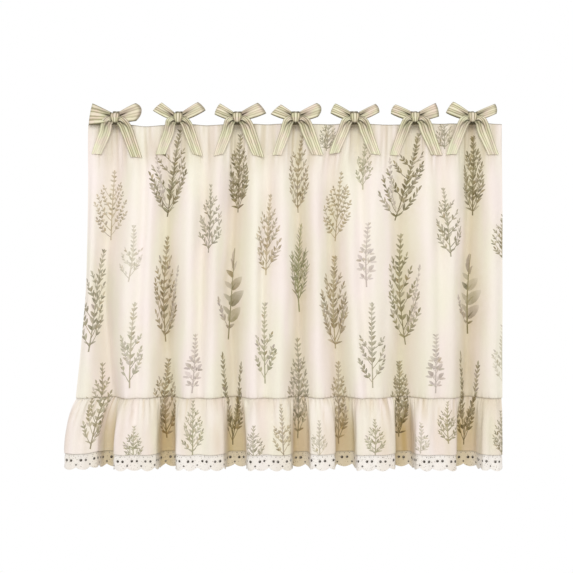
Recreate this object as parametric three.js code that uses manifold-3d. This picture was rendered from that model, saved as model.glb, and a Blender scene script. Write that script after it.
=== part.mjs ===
// Short tie-top curtain for an oven rail: a printed cotton panel in soft hanging folds,
// a gathered ruffle under it, a scalloped eyelet trim along the hem and seven ribbon ties.
//
// Units are millimetres. +Z is up and the front faces -Y. The origin is the middle of the
// panel's top edge. "Forward" (f) is the distance towards the front, measured from the
// panel's mid plane, so y = -f inside the curtain's group.

import * as THREE from 'three';
import Module from 'manifold-3d';
import { mergeVertices } from 'three/addons/utils/BufferGeometryUtils.js';

// ---------------------------------------------------------------- driving dimensions

const CLOTH = 1.3;            // thickness of the single cotton cloth
const HEAD_CLOTH = 2.1;       // doubled cloth in the heading hem
const LACE = 1.2;             // thickness of the eyelet trim
const RIBBON = 1.2;           // thickness of the tie ribbon
const GAP = 0.35;             // air between sewn pieces

const HEAD_HEM = 56;          // depth of the heading hem
const SEAM_Z = -482;          // lower edge of the panel
const SEAM_ALLOWANCE = 9;     // ruffle standing up behind the panel
const RUFFLE_DROP = 98;       // cloth length from the seam to the ruffle's hem
const LACE_LAP = 7;           // trim hidden behind the ruffle's hem
const LACE_DROP = 28;         // trim showing below the hem, at a scallop's tip
const SCALLOP_PITCH = 25;     // width of one scallop
const SCALLOP_DEPTH = 6;      // from a notch to a tip

const COLUMN_STEP = 14.5;     // widest panel facet
const ROD_SPACE = 19;         // clear width inside each tie, where a rail would pass

// The panel's fold lines from left to right. Each has its sideways place (x) and how far
// it stands forward (f) at four heights: the head, upper, middle and low level.
const LEVELS = [0, -130, -300, -482];
const PANEL_FOLDS = [
  // name        x_head x_upper x_mid x_low   f_head f_upper f_mid f_low
  ['side_l',     -363,  -363,  -366,  -383,    2,     5,     8,    9],
  ['ridge_0',    -344,  -350,  -355,  -362,    4,     9,    13,   13],
  ['trough_1',   -314,  -324,  -336,  -323,   -8,   -10,   -12,  -14],
  ['ridge_1a',   -284,  -283,  -297,  -296,    4,    11,    14,   16],
  ['dip_1',      -265,  -265,  -274,  -276,    2,     4,     8,   10],
  ['ridge_1b',   -241,  -250,  -257,  -257,    4,     8,    10,   10],
  ['trough_2',   -204,  -225,  -228,  -225,   -8,   -13,   -15,  -18],
  ['ridge_2a',   -178,  -185,  -188,  -190,    3,    12,    14,   15],
  ['dip_2',      -158,  -160,  -166,  -168,    1,    -3,     1,    6],
  ['ridge_2b',   -132,  -136,  -143,  -146,    3,    12,    13,   13],
  ['trough_3',   -101,  -108,  -116,  -108,   -8,   -12,   -15,  -17],
  ['ridge_3a',    -72,   -72,   -74,   -76,    4,    12,    13,   14],
  ['dip_3',       -50,   -48,   -57,   -53,    2,    -2,     2,    6],
  ['ridge_3b',    -26,   -23,   -24,   -26,    4,    12,    13,   15],
  ['trough_4',      1,     5,     6,     9,   -8,   -12,   -14,  -16],
  ['ridge_4',      36,    34,    37,    42,    4,    10,     9,   10],
  ['trough_4b',    66,    62,    66,    82,    1,    -8,   -12,  -16],
  ['ridge_5a',     84,    94,    97,   112,    2,    12,    13,   15],
  ['trough_5',    104,   115,   118,   129,   -8,     3,     7,   11],
  ['ridge_5b',    130,   140,   141,   148,    3,    12,    13,   13],
  ['trough_6',    206,   182,   185,   190,   -8,   -11,   -13,  -17],
  ['ridge_6a',    234,   229,   231,   232,    3,    12,    13,   15],
  ['dip_6',       254,   255,   254,   255,    2,     1,     7,   10],
  ['ridge_6b',    277,   280,   275,   275,    4,     9,     9,   11],
  ['trough_7',    309,   309,   305,   307,   -8,   -13,   -15,  -17],
  ['ridge_7',     336,   339,   341,   342,    4,    12,    13,   13],
  ['side_r',      363,   363,   363,   363,    2,     5,     7,    7],
];

// How far the top edge sags between the ties: before the first, in each gap, past the last.
const HEAD_SAG = [3, 6, 4, 2.5, 2.5, 2.5, 1.5, 2];
const SAG_DEPTH = 110;        // the sag fades out this far below the top edge

// The ruffle's forward folds: where each begins and ends along the seam and along the hem,
// how far its crown stands forward, how much its middle dips, and how far back the cloth
// lies in the recess to its right.
const RUFFLE_FOLDS = [
  // name    seam_l seam_r  hem_l hem_r  crown dip  back
  ['ruffle_0', -383, -324,  -402, -342,   19,   4,  -20],
  ['ruffle_1', -307, -240,  -317, -240,   23,   6,  -27],
  ['ruffle_2', -208, -123,  -209, -122,   23,   8,  -26],
  ['ruffle_3',  -91,   -3,   -84,   -5,   24,   7,  -23],
  ['ruffle_4',   20,   66,    26,   71,   21,   3,  -24],
  ['ruffle_5',  103,  174,   106,  176,   23,   6,  -26],
  ['ruffle_6',  207,  288,   209,  282,   23,   7,  -27],
  ['ruffle_7',  327,  363,   324,  362,   21,   3,    0],
];

// The ties: the knot's centre, each loop's tip (place from the knot and ribbon width there)
// and each free end's middle (place from the knot), all seen from the front.
const KNOT_F = 12;            // the knot's centre stands this far forward
const TIES = [
  // name   knot_x knot_z  l_dx l_dz l_wide  r_dx r_dz r_wide  lt_dx lt_dz  rt_dx rt_dz
  ['tie_1', -314,  8.0,    -44,   8,  36,     44,  11,  31,    -34,  -64,    38,  -69],
  ['tie_2', -204,  8.0,    -41,  18,  23,     44,  18,  23,    -33,  -64,    35,  -65],
  ['tie_3', -101,  8.5,    -39,  14,  23,     46,  15,  25,    -34,  -66,    38,  -68],
  ['tie_4',    1,  8.5,    -39,  13,  25,     46,  15,  24,    -33,  -66,    39,  -66],
  ['tie_5',  104,  8.0,    -40,  14,  21,     42,  16,  21,    -36,  -62,    37,  -64],
  ['tie_6',  209,  9.0,    -40,  13,  22,     42,  12,  25,    -35,  -66,    40,  -66],
  ['tie_7',  309,  9.0,    -41,  16,  25,     43,  14,  23,    -37,  -66,    38,  -66],
];
const KNOT_W = 17, KNOT_H = 19, KNOT_D = 13;   // the knot's size
const TAIL_WIDE = 21;         // spread width of a free end
const PINCH_WIDE = 9;         // ribbon drawn together where it enters the knot

// ---------------------------------------------------------------- curves

const clamp = (v, lo, hi) => Math.min(hi, Math.max(lo, v));
const mix = (a, b, k) => a + (b - a) * k;
const smooth = (k) => { const c = clamp(k, 0, 1); return c * c * (3 - 2 * c); };

// Cubic through four equally spaced values.
function cubic(a, b, c, d, k) {
  return b + 0.5 * k * (c - a + k * (2 * a - 5 * b + 4 * c - d + k * (3 * (b - c) + d - a)));
}

// Smooth curve through a list of values, read at a position counted in list steps.
function along(values, t) {
  const last = values.length - 1;
  const i = clamp(Math.floor(t), 0, last - 1), k = t - i;
  const at = (j) => (j < 0 ? 2 * values[0] - values[1]
    : j > last ? 2 * values[last] - values[last - 1] : values[j]);
  return cubic(at(i - 1), at(i), at(i + 1), at(i + 2), k);
}

// Smooth curve through a table's values at its own heights (cubic Hermite).
function atHeight(values, z) {
  const n = LEVELS.length;
  const slope = (i) => {
    const a = Math.max(i - 1, 0), b = Math.min(i + 1, n - 1);
    return (values[b] - values[a]) / (LEVELS[b] - LEVELS[a]);
  };
  let i = 0;
  while (i < n - 2 && z < LEVELS[i + 1]) i++;
  const h = LEVELS[i + 1] - LEVELS[i], k = clamp((z - LEVELS[i]) / h, 0, 1.2);
  const k2 = k * k, k3 = k2 * k;
  return (2 * k3 - 3 * k2 + 1) * values[i] + (k3 - 2 * k2 + k) * h * slope(i)
    + (3 * k2 - 2 * k3) * values[i + 1] + (k3 - k2) * h * slope(i + 1);
}

// ---------------------------------------------------------------- panel

// The sag of the top edge at one sideways place.
function headSag(x) {
  const ties = TIES.map((r) => r[1]);
  let i = 0;
  while (i < ties.length && x > ties[i]) i++;
  const lo = i === 0 ? PANEL_FOLDS[0][1] : ties[i - 1];
  const hi = i === ties.length ? PANEL_FOLDS[PANEL_FOLDS.length - 1][1] : ties[i];
  const k = clamp((x - lo) / (hi - lo), 0, 1);
  const rise = i === 0 ? smooth(1 - k) : i === ties.length ? smooth(k)
    : Math.pow(Math.sin(Math.PI * k), 1.5);
  return HEAD_SAG[i] * rise;
}

// Middle of the panel's cloth: t counts fold lines from the left, z is the height.
function panelAt(t, z) {
  const x = along(PANEL_FOLDS.map((r) => atHeight(r.slice(1, 5), z)), t);
  const f = along(PANEL_FOLDS.map((r) => atHeight(r.slice(5, 9), z)), t);
  return new THREE.Vector3(x, -f, z - headSag(x) * smooth(1 + z / SAG_DEPTH));
}

// The fold position at which the panel reaches a sideways place at one height.
function panelFoldAt(x, z) {
  let lo = 0, hi = PANEL_FOLDS.length - 1;
  for (let i = 0; i < 30; i++) {
    const mid = (lo + hi) / 2;
    if (panelAt(mid, z).x < x) lo = mid; else hi = mid;
  }
  return (lo + hi) / 2;
}

const panelForward = (x, z) => -panelAt(panelFoldAt(x, z), z).y;

// ---------------------------------------------------------------- ruffle and trim

// Stations along the ruffle: the seam place, the hem place and how far forward the hem is.
function ruffleStations() {
  const out = [];
  RUFFLE_FOLDS.forEach(([, sl, sr, hl, hr, crown, dip, back], i) => {
    const w = hr - hl, s = (k) => mix(sl, sr, k);
    const first = i === 0, final = i === RUFFLE_FOLDS.length - 1;
    out.push([s(0), hl, first ? crown - 9 : crown - 14]);
    out.push([s(0.1), hl + 0.05 * w, crown - 4]);
    out.push([s(0.3), hl + 0.26 * w, crown]);
    out.push([s(0.5), hl + 0.5 * w, crown - dip]);
    out.push([s(0.7), hl + 0.74 * w, crown]);
    out.push([s(0.9), hl + 0.95 * w, crown - 4]);
    out.push([s(1), hr, final ? crown - 6 : crown - 14]);
    if (!final) {
      const [, nsl, , nhl] = RUFFLE_FOLDS[i + 1];
      const seam = (k) => mix(sr, nsl, k), hem = (k) => mix(hr, nhl, k);
      out.push([seam(0.22), hem(0.1), back + 5]);
      out.push([seam(0.5), hem(0.5), back]);
      out.push([seam(0.78), hem(0.9), back + 5]);
    }
  });
  return out;
}
const STATIONS = ruffleStations();
const SEAM_T = STATIONS.map((s) => panelFoldAt(s[0], SEAM_Z));
const HEM_X = STATIONS.map((s) => s[1]);
const HEM_F = STATIONS.map((s) => s[2]);
const LAST = STATIONS.length - 1;

// How far a fold has opened between the seam (0) and the hem (1).
const opened = (v) => Math.sin((Math.PI / 2) * Math.pow(clamp(v, 0, 1), 0.8));
const BEHIND = CLOTH + GAP + 1.9;   // the gathered seam allowance stands this far behind

// Middle of the ruffle's cloth: s counts stations, v runs from the seam (0) to the hem (1)
// and below 0 in the seam allowance behind the panel.
function ruffleAt(s, v) {
  const t = clamp(along(SEAM_T, s), 0, PANEL_FOLDS.length - 1);
  const z = SEAM_Z - Math.min(v, 0) * RUFFLE_DROP;
  const top = panelAt(t, z).addScaledVector(panelNormal(t, z), -BEHIND);
  if (v <= 0) return top.setZ(z);
  const k = opened(v);
  const hx = along(HEM_X, s), hy = -along(HEM_F, s);
  const travel = Math.hypot(hx - top.x, hy - top.y);
  const drop = Math.sqrt(RUFFLE_DROP ** 2 - Math.min(travel, 60) ** 2);
  return new THREE.Vector3(mix(top.x, hx, k), mix(top.y, hy, k), SEAM_Z - 0.4 - drop * v);
}

// Unit normal of a surface, pointing forward.
function normalOf(at, a, b, da, db) {
  const p = at(a - da, b), q = at(a + da, b), r = at(a, b - db), s = at(a, b + db);
  const n = q.sub(p).cross(s.sub(r)).normalize();
  return n.y > 0 || (Math.abs(n.y) < 1e-6) ? n.negate() : n;
}
function panelNormal(t, z) {
  const last = PANEL_FOLDS.length - 1;
  return normalOf(panelAt, clamp(t, 0.02, last - 0.02), clamp(z, SEAM_Z + 1, -1), 0.02, 1);
}

// ---------------------------------------------------------------- solids from surfaces

// A closed sheet: a grid of points, each moved half a thickness to the front and back.
function sheet(grid, halves) {
  const rows = grid.length, cols = grid[0].length, pos = [], idx = [];
  const normals = grid.map((line, i) => line.map((p, j) => {
    const across = grid[i][Math.min(j + 1, cols - 1)].clone().sub(grid[i][Math.max(j - 1, 0)]);
    const down = grid[Math.min(i + 1, rows - 1)][j].clone().sub(grid[Math.max(i - 1, 0)][j]);
    return down.cross(across).normalize();
  }));
  for (const side of [1, -1]) {
    for (let i = 0; i < rows; i++) {
      for (let j = 0; j < cols; j++) {
        const p = grid[i][j].clone().addScaledVector(normals[i][j], side * halves(i, j));
        pos.push(p.x, p.y, p.z);
      }
    }
  }
  const front = (i, j) => i * cols + j, back = (i, j) => rows * cols + front(i, j);
  const quad = (a, b, c, d) => idx.push(a, b, c, a, c, d);
  for (let i = 0; i + 1 < rows; i++) {
    for (let j = 0; j + 1 < cols; j++) {
      quad(front(i, j), front(i + 1, j), front(i + 1, j + 1), front(i, j + 1));
      quad(back(i, j), back(i, j + 1), back(i + 1, j + 1), back(i + 1, j));
    }
  }
  for (let j = 0; j + 1 < cols; j++) {
    quad(front(0, j), front(0, j + 1), back(0, j + 1), back(0, j));
    quad(front(rows - 1, j), back(rows - 1, j), back(rows - 1, j + 1), front(rows - 1, j + 1));
  }
  for (let i = 0; i + 1 < rows; i++) {
    quad(front(i, 0), back(i, 0), back(i + 1, 0), front(i + 1, 0));
    quad(front(i, cols - 1), front(i + 1, cols - 1), back(i + 1, cols - 1), back(i, cols - 1));
  }
  const g = new THREE.BufferGeometry();
  g.setAttribute('position', new THREE.Float32BufferAttribute(pos, 3));
  g.setIndex(idx);
  return outward(g);
}

// Turns a closed shape's faces outward if its signed volume is negative.
function outward(g) {
  const p = g.getAttribute('position'), ix = g.getIndex().array;
  const a = new THREE.Vector3(), b = new THREE.Vector3(), c = new THREE.Vector3();
  let volume = 0;
  for (let i = 0; i < ix.length; i += 3) {
    a.fromBufferAttribute(p, ix[i]);
    b.fromBufferAttribute(p, ix[i + 1]);
    c.fromBufferAttribute(p, ix[i + 2]);
    volume += a.dot(b.cross(c));
  }
  if (volume < 0) {
    const flipped = [];
    for (let i = 0; i < ix.length; i += 3) flipped.push(ix[i], ix[i + 2], ix[i + 1]);
    g.setIndex(flipped);
  }
  return g;
}

// A ribbon swept through stations. Each has a centre, a direction across, a width and a
// cup: how far its middle stands off the line between its edges, or null for a flat ribbon.
function ribbon(stations) {
  const grid = stations.map((s, i) => {
    const a = stations[Math.max(i - 1, 0)].c, b = stations[Math.min(i + 1, stations.length - 1)].c;
    const n = b.clone().sub(a).cross(s.across).normalize();
    return (stations[0].cup === null ? [-0.5, 0.5] : [-0.5, 0, 0.5]).map((k) => s.c.clone()
      .addScaledVector(s.across, k * s.wide)
      .addScaledVector(n, (k === 0 ? 1 : 0) * s.cup));
  });
  return sheet(grid, () => RIBBON / 2);
}

// ---------------------------------------------------------------- pieces

function panelGeometry() {
  const ts = [];
  const last = PANEL_FOLDS.length - 1;
  for (let i = 0; i < last; i++) {
    const widest = Math.max(...[1, 2, 3, 4].map((c) => PANEL_FOLDS[i + 1][c] - PANEL_FOLDS[i][c]));
    const n = Math.max(2, Math.round(widest / COLUMN_STEP));
    for (let k = 0; k < n; k++) ts.push(i + k / n);
  }
  ts.push(last);
  const zs = [0, -HEAD_HEM, -HEAD_HEM - 2, -110, -165, -245, -325, -400, SEAM_Z];
  return sheet(zs.map((z) => ts.map((t) => panelAt(t, z))),
    (i) => (i <= 1 ? HEAD_CLOTH : CLOTH) / 2);
}

// Hem line sampled by length, for the trim that follows it.
function hemByLength(steps) {
  const fine = 2400, pts = [], run = [0];
  for (let i = 0; i <= fine; i++) pts.push((LAST * i) / fine);
  const at = pts.map((s) => ruffleAt(s, 1));
  for (let i = 1; i <= fine; i++) {
    run.push(run[i - 1] + Math.hypot(at[i].x - at[i - 1].x, at[i].y - at[i - 1].y));
  }
  const total = run[fine], out = [];
  let i = 0;
  for (let k = 0; k <= steps; k++) {
    const want = (total * k) / steps;
    while (i < fine - 1 && run[i + 1] < want) i++;
    out.push(mix(pts[i], pts[i + 1], clamp((want - run[i]) / (run[i + 1] - run[i]), 0, 1)));
  }
  return { total, stations: out };
}

// The ruffle's columns: two to a scallop, evenly spaced along the hem.
const SCALLOPS = Math.round(hemByLength(1).total / SCALLOP_PITCH);
const COLUMNS = hemByLength(SCALLOPS * 2).stations;
const RUFFLE_ROWS = [-SEAM_ALLOWANCE / RUFFLE_DROP, 0, 0.14, 0.45, 1 - LACE_LAP / RUFFLE_DROP, 1];
const RUFFLE_GRID = RUFFLE_ROWS.map((v) => COLUMNS.map((s) => ruffleAt(s, v)));

const ruffleGeometry = () => sheet(RUFFLE_GRID, () => CLOTH / 2);

// The trim hangs on in the ruffle's own facets, just behind its hem, with four columns to
// a scallop: a notch, a shoulder, the tip and a shoulder.
function laceGeometry() {
  const behind = CLOTH / 2 + GAP + LACE / 2 + 0.1;
  const rows = RUFFLE_GRID.length, above = RUFFLE_GRID[rows - 2], hem = RUFFLE_GRID[rows - 1];
  const top = [], low = [];
  for (let k = 0; k + 1 <= 2 * (COLUMNS.length - 1) + 1; k++) {
    const i = Math.min(Math.floor(k / 2), COLUMNS.length - 2), h = k / 2 - i;
    const upper = above[i].clone().lerp(above[i + 1], h), edge = hem[i].clone().lerp(hem[i + 1], h);
    const down = edge.clone().sub(upper).normalize();
    const near = Math.round(k / 2);
    const side = hem[Math.min(near + 1, hem.length - 1)].clone().sub(hem[Math.max(near - 1, 0)]);
    const across = k % 2 ? hem[i + 1].clone().sub(hem[i]) : side;
    const n = down.clone().cross(across).normalize();
    const depth = LACE_DROP - [SCALLOP_DEPTH, 1.5, 0, 1.5][k % 4];
    top.push(upper.addScaledVector(n, -behind));
    low.push(edge.addScaledVector(n, -behind).addScaledVector(down, depth));
  }
  return sheet([top, low], () => LACE / 2);
}

// A knot: a squat barrel, a little narrower below, closed at both ends.
function knotGeometry() {
  const rings = [[-1, 0.66, 0.6], [-0.6, 0.9, 0.94], [0.6, 1, 0.96], [1, 0.8, 0.66]];
  const around = 8, pos = [], idx = [];
  rings.forEach(([h, w, d]) => {
    for (let k = 0; k < around; k++) {
      const a = (2 * Math.PI * k) / around;
      const c = Math.cos(a), s = Math.sin(a);
      const square = 1 / Math.pow(Math.abs(c) ** 3 + Math.abs(s) ** 3, 1 / 3);
      pos.push(0.5 * KNOT_W * w * c * square, 0.5 * KNOT_D * d * s * square, 0.5 * KNOT_H * h);
    }
  });
  const top = pos.length / 3 + 1, bottom = top - 1;
  pos.push(0, 0, -0.5 * KNOT_H, 0, 0, 0.5 * KNOT_H);
  for (let r = 0; r + 1 < rings.length; r++) {
    for (let k = 0; k < around; k++) {
      const a = r * around + k, b = r * around + ((k + 1) % around);
      idx.push(a, b, b + around, a, b + around, a + around);
    }
  }
  const r = (rings.length - 1) * around;
  for (let k = 0; k < around; k++) {
    idx.push(bottom, (k + 1) % around, k, top, r + k, r + ((k + 1) % around));
  }
  const g = new THREE.BufferGeometry();
  g.setAttribute('position', new THREE.Float32BufferAttribute(pos, 3));
  g.setIndex(idx);
  return outward(g);
}

// One bow loop, in the knot's own frame (knot centre at 0): out along the front layer,
// round the tip and back along the rear layer. dx, dz is the tip; side is -1 or 1.
function loopGeometry(dx, dz, wide) {
  const side = Math.sign(dx), length = Math.hypot(dx, dz);
  const out = new THREE.Vector3(dx, 0, dz).divideScalar(length);
  const across = new THREE.Vector3(-out.z, 0, out.x).multiplyScalar(side);
  // distance along the loop, how far forward the layer is, share of the full width, cup
  const layers = [
    [4, 2.5, 0.40, 0], [12, 4.6, 0.74, 0.9], [length - 12, 5.6, 1, 1.0],
    [length - 2.4, 3.4, 0.99, 0.3], [length, 0, 0.97, 0], [length - 2.4, -3.2, 0.98, 0.3],
    [length - 13, -4.9, 0.97, 0.7], [12, -3.8, 0.70, 0.5], [4, -2.2, 0.38, 0],
  ];
  return ribbon(layers.map(([d, f, w, cup]) => ({
    c: out.clone().multiplyScalar(d).setY(-f),
    across, wide: Math.max(PINCH_WIDE * 0.8, wide * w), cup: side * cup,
  })));
}

// One free end: it leaves the knot's side, falls over the top edge and lies just in front
// of the panel. knot is the knot's place; dx, dz is the end's middle from it.
function tailGeometry(knot, dx, dz) {
  const side = Math.sign(dx);
  const line = [[0.0, 0.10, 2, 7], [0.07, 0.22, -3, 10], [0.22, 0.42, -12, 15], [0.45, 0.64, 0, 18], [0.72, 0.83, 0, TAIL_WIDE], [1, 1, 0, TAIL_WIDE]];
  const stations = line.map(([k, kx, lift, wide], i) => {
    const x = side * 4 + (dx - side * 4) * kx, z = i < 1 ? 1 : mix(2, dz, k) ;
    const wx = knot.x + x, wz = Math.min(knot.z + z, -0.5);
    let f = KNOT_F + 1.5;
    if (i > 1) {
      let most = -100;
      for (const w of [-0.6, -0.3, 0, 0.3, 0.6]) most = Math.max(most, panelForward(wx + w * wide, wz));
      f = most + HEAD_CLOTH / 2 + RIBBON / 2 + 2.2;
    }
    return { x, z, f: f - KNOT_F, wide };
  });
  // keep the fall even: never drop back faster than 6 mm between stations
  for (let i = 2; i < stations.length; i++) stations[i].f = Math.max(stations[i].f, stations[i - 1].f - 6);
  const c = stations.map((s) => new THREE.Vector3(s.x, -s.f, s.z));
  return ribbon(stations.map((s, i) => {
    const a = c[Math.max(i - 1, 0)], b = c[Math.min(i + 1, c.length - 1)];
    const d = b.clone().sub(a).setY(0).normalize();
    return { c: c[i], across: new THREE.Vector3(-d.z, 0, d.x).multiplyScalar(1), wide: s.wide, cup: null };
  }));
}

// The part of the tie round the rail's place: from the knot over the top, down behind and
// under to the back of the heading, and a short strand from there forward to the knot.
function neckGeometries(knot) {
  const across = new THREE.Vector3(1, 0, 0), wide = 12;
  const behind = [0, -6, -12, -18].map((z) => panelForward(knot.x, z));
  const sewn = Math.min(...behind) - HEAD_CLOTH / 2 - GAP - RIBBON / 2 - 0.3;
  const r = ROD_SPACE / 2 + RIBBON / 2;
  const cz = 1.8 + r, cf = sewn + 4.0;
  const path = [[KNOT_F - 2, 10.5], [cf + r * 1.12, cz + r * 0.36]];
  for (const deg of [62, 104, 148, 190, 228]) {
    const a = (deg * Math.PI) / 180;
    path.push([cf + r * Math.cos(a), cz + r * Math.sin(a)]);
  }
  path.push([sewn - 1.2, 0.6], [sewn, -5], [sewn, -17]);
  const strand = path.map(([f, z]) => ({
    c: new THREE.Vector3(0, -(f - KNOT_F), z - knot.z), across, wide, cup: null,
  }));
  const front = [[sewn, -3], [sewn + 0.2, 0.4], [sewn + 3, 2.6], [KNOT_F - 8, 4.2], [KNOT_F, 5.5]].map(([f, z]) => ({
    c: new THREE.Vector3(0, -(f - KNOT_F), z - knot.z), across, wide: wide - 1, cup: null,
  }));
  return [ribbon(strand), ribbon(front)];
}

// ---------------------------------------------------------------- joining

const wasm = await Module();
wasm.setup();

function toManifold(geometry) {
  const g = geometry.clone();
  g.deleteAttribute('normal');
  g.deleteAttribute('uv');
  const m = mergeVertices(g, 1e-4);
  return new wasm.Manifold(new wasm.Mesh({
    numProp: 3,
    vertProperties: new Float32Array(m.getAttribute('position').array),
    triVerts: new Uint32Array(m.getIndex().array),
  }));
}

function join(geometries) {
  let all = toManifold(geometries[0]);
  for (const g of geometries.slice(1)) all = all.add(toManifold(g));
  const mesh = all.getMesh();
  const g = new THREE.BufferGeometry();
  g.setAttribute('position', new THREE.BufferAttribute(new Float32Array(mesh.vertProperties), 3));
  g.setIndex(new THREE.BufferAttribute(new Uint32Array(mesh.triVerts), 1));
  return g;
}

function tieGeometry([, kx, kz, ldx, ldz, lw, rdx, rdz, rw, ltx, ltz, rtx, rtz]) {
  const knot = { x: kx, z: kz };
  return join([
    knotGeometry(),
    loopGeometry(ldx, ldz, lw), loopGeometry(rdx, rdz, rw),
    tailGeometry(knot, ltx, ltz), tailGeometry(knot, rtx, rtz),
    ...neckGeometries(knot),
  ]);
}

// ---------------------------------------------------------------- assembly

const cotton = new THREE.MeshStandardMaterial({ color: 0xefe4d2, roughness: 0.92, metalness: 0 });
const ruffleCotton = new THREE.MeshStandardMaterial({ color: 0xeadfcb, roughness: 0.92, metalness: 0 });
const laceCotton = new THREE.MeshStandardMaterial({ color: 0xf2ede2, roughness: 0.9, metalness: 0 });
const ribbonCotton = new THREE.MeshStandardMaterial({ color: 0xcfc8ab, roughness: 0.88, metalness: 0 });

// The middle of the top edge lies in a fold's hollow, HOLLOW behind the panel's mid plane,
// and the whole group is shifted so that this point is the origin.
const HOLLOW = 8;
const curtain = new THREE.Group();
curtain.position.y = -HOLLOW;
function add(name, geometry, material, x = 0, y = 0, z = 0) {
  const mesh = new THREE.Mesh(geometry, material);
  mesh.name = name;
  mesh.position.set(x, y, z);
  curtain.add(mesh);
}

add('panel', panelGeometry(), cotton);
add('ruffle', ruffleGeometry(), ruffleCotton);
add('lace_trim', laceGeometry(), laceCotton);
for (const row of TIES) {
  add(row[0], tieGeometry(row), ribbonCotton, row[1], -KNOT_F, row[2]);
}

const part = new THREE.Group();
part.add(curtain);
export default part;
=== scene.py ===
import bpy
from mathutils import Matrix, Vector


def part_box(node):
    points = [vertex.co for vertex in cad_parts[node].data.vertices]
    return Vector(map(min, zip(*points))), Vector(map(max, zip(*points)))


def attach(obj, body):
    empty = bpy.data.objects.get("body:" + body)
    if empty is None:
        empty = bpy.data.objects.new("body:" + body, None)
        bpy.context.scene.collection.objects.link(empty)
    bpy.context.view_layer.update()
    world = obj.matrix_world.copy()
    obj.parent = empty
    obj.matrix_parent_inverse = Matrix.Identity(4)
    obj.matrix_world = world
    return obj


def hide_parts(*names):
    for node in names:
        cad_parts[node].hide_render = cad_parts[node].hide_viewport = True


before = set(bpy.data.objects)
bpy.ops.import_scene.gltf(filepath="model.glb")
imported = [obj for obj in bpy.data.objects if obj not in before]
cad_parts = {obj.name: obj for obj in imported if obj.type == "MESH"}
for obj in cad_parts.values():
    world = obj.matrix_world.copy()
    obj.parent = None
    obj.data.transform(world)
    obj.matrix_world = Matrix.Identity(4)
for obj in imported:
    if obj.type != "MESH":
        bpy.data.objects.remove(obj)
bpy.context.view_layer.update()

# Short tie-top curtain: printed cotton panel, gathered ruffle, eyelet trim and seven ribbon
# bows. Shapes are worked out in millimetres in the frame's axes (x right, y back, z up), as
# the fold tables are, and turned into metres when a mesh is made. Cloth coordinates are u
# (across the flat cloth) and d (down the flat cloth).

import bpy, math
import numpy as np
from mathutils import Vector
from mathutils.geometry import delaunay_2d_cdt

# ---------------------------------------------------------------- the shared sizes

LEVELS = np.array([0.0, -130.0, -300.0, -482.0])
PANEL_FOLDS = [
    # name       x_head x_upper x_mid x_low  f_head f_upper f_mid f_low
    ("side_l",   -363, -363, -366, -383,   2,   5,   8,   9),
    ("ridge_0",  -344, -350, -355, -362,   4,   9,  13,  13),
    ("trough_1", -314, -324, -336, -323,  -8, -10, -12, -14),
    ("ridge_1a", -284, -283, -297, -296,   4,  11,  14,  16),
    ("dip_1",    -265, -265, -274, -276,   2,   4,   8,  10),
    ("ridge_1b", -241, -250, -257, -257,   4,   8,  10,  10),
    ("trough_2", -204, -225, -228, -225,  -8, -13, -15, -18),
    ("ridge_2a", -178, -185, -188, -190,   3,  12,  14,  15),
    ("dip_2",    -158, -160, -166, -168,   1,  -3,   1,   6),
    ("ridge_2b", -132, -136, -143, -146,   3,  12,  13,  13),
    ("trough_3", -101, -108, -116, -108,  -8, -12, -15, -17),
    ("ridge_3a",  -72,  -72,  -74,  -76,   4,  12,  13,  14),
    ("dip_3",     -50,  -48,  -57,  -53,   2,  -2,   2,   6),
    ("ridge_3b",  -26,  -23,  -24,  -26,   4,  12,  13,  15),
    ("trough_4",    1,    5,    6,    9,  -8, -12, -14, -16),
    ("ridge_4",    36,   34,   37,   42,   4,  10,   9,  10),
    ("trough_4b",  66,   62,   66,   82,   1,  -8, -12, -16),
    ("ridge_5a",   84,   94,   97,  112,   2,  12,  13,  15),
    ("trough_5",  104,  115,  118,  129,  -8,   3,   7,  11),
    ("ridge_5b",  130,  140,  141,  148,   3,  12,  13,  13),
    ("trough_6",  206,  182,  185,  190,  -8, -11, -13, -17),
    ("ridge_6a",  234,  229,  231,  232,   3,  12,  13,  15),
    ("dip_6",     254,  255,  254,  255,   2,   1,   7,  10),
    ("ridge_6b",  277,  280,  275,  275,   4,   9,   9,  11),
    ("trough_7",  309,  309,  305,  307,  -8, -13, -15, -17),
    ("ridge_7",   336,  339,  341,  342,   4,  12,  13,  13),
    ("side_r",    363,  363,  363,  363,   2,   5,   7,   7),
]
# the folds whose valleys are drawn into a narrow crease
CREASED = {"trough_1": 1.0, "trough_2": 1.0, "trough_3": 1.0, "trough_4": 1.0,
           "trough_4b": 0.8, "trough_6": 1.0, "trough_7": 1.0, "dip_2": 0.5, "dip_3": 0.5,
           "dip_1": 0.3, "dip_6": 0.3, "trough_5": 0.3}
HEAD_SAG = [3, 6, 4, 2.5, 2.5, 2.5, 1.5, 2]
SAG_DEPTH = 110.0
RUFFLE_FOLDS = [
    # name      seam_l seam_r hem_l hem_r crown dip back
    ("ruffle_0", -383, -324, -402, -342, 19, 4, -20),
    ("ruffle_1", -307, -240, -317, -240, 23, 6, -27),
    ("ruffle_2", -208, -123, -209, -122, 23, 8, -26),
    ("ruffle_3",  -91,   -3,  -84,   -5, 24, 7, -23),
    ("ruffle_4",   20,   66,   26,   71, 21, 3, -24),
    ("ruffle_5",  103,  174,  106,  176, 23, 6, -26),
    ("ruffle_6",  207,  288,  209,  282, 23, 7, -27),
    ("ruffle_7",  327,  363,  324,  362, 21, 3,   0),
]
KNOT_F = 12.0
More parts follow.
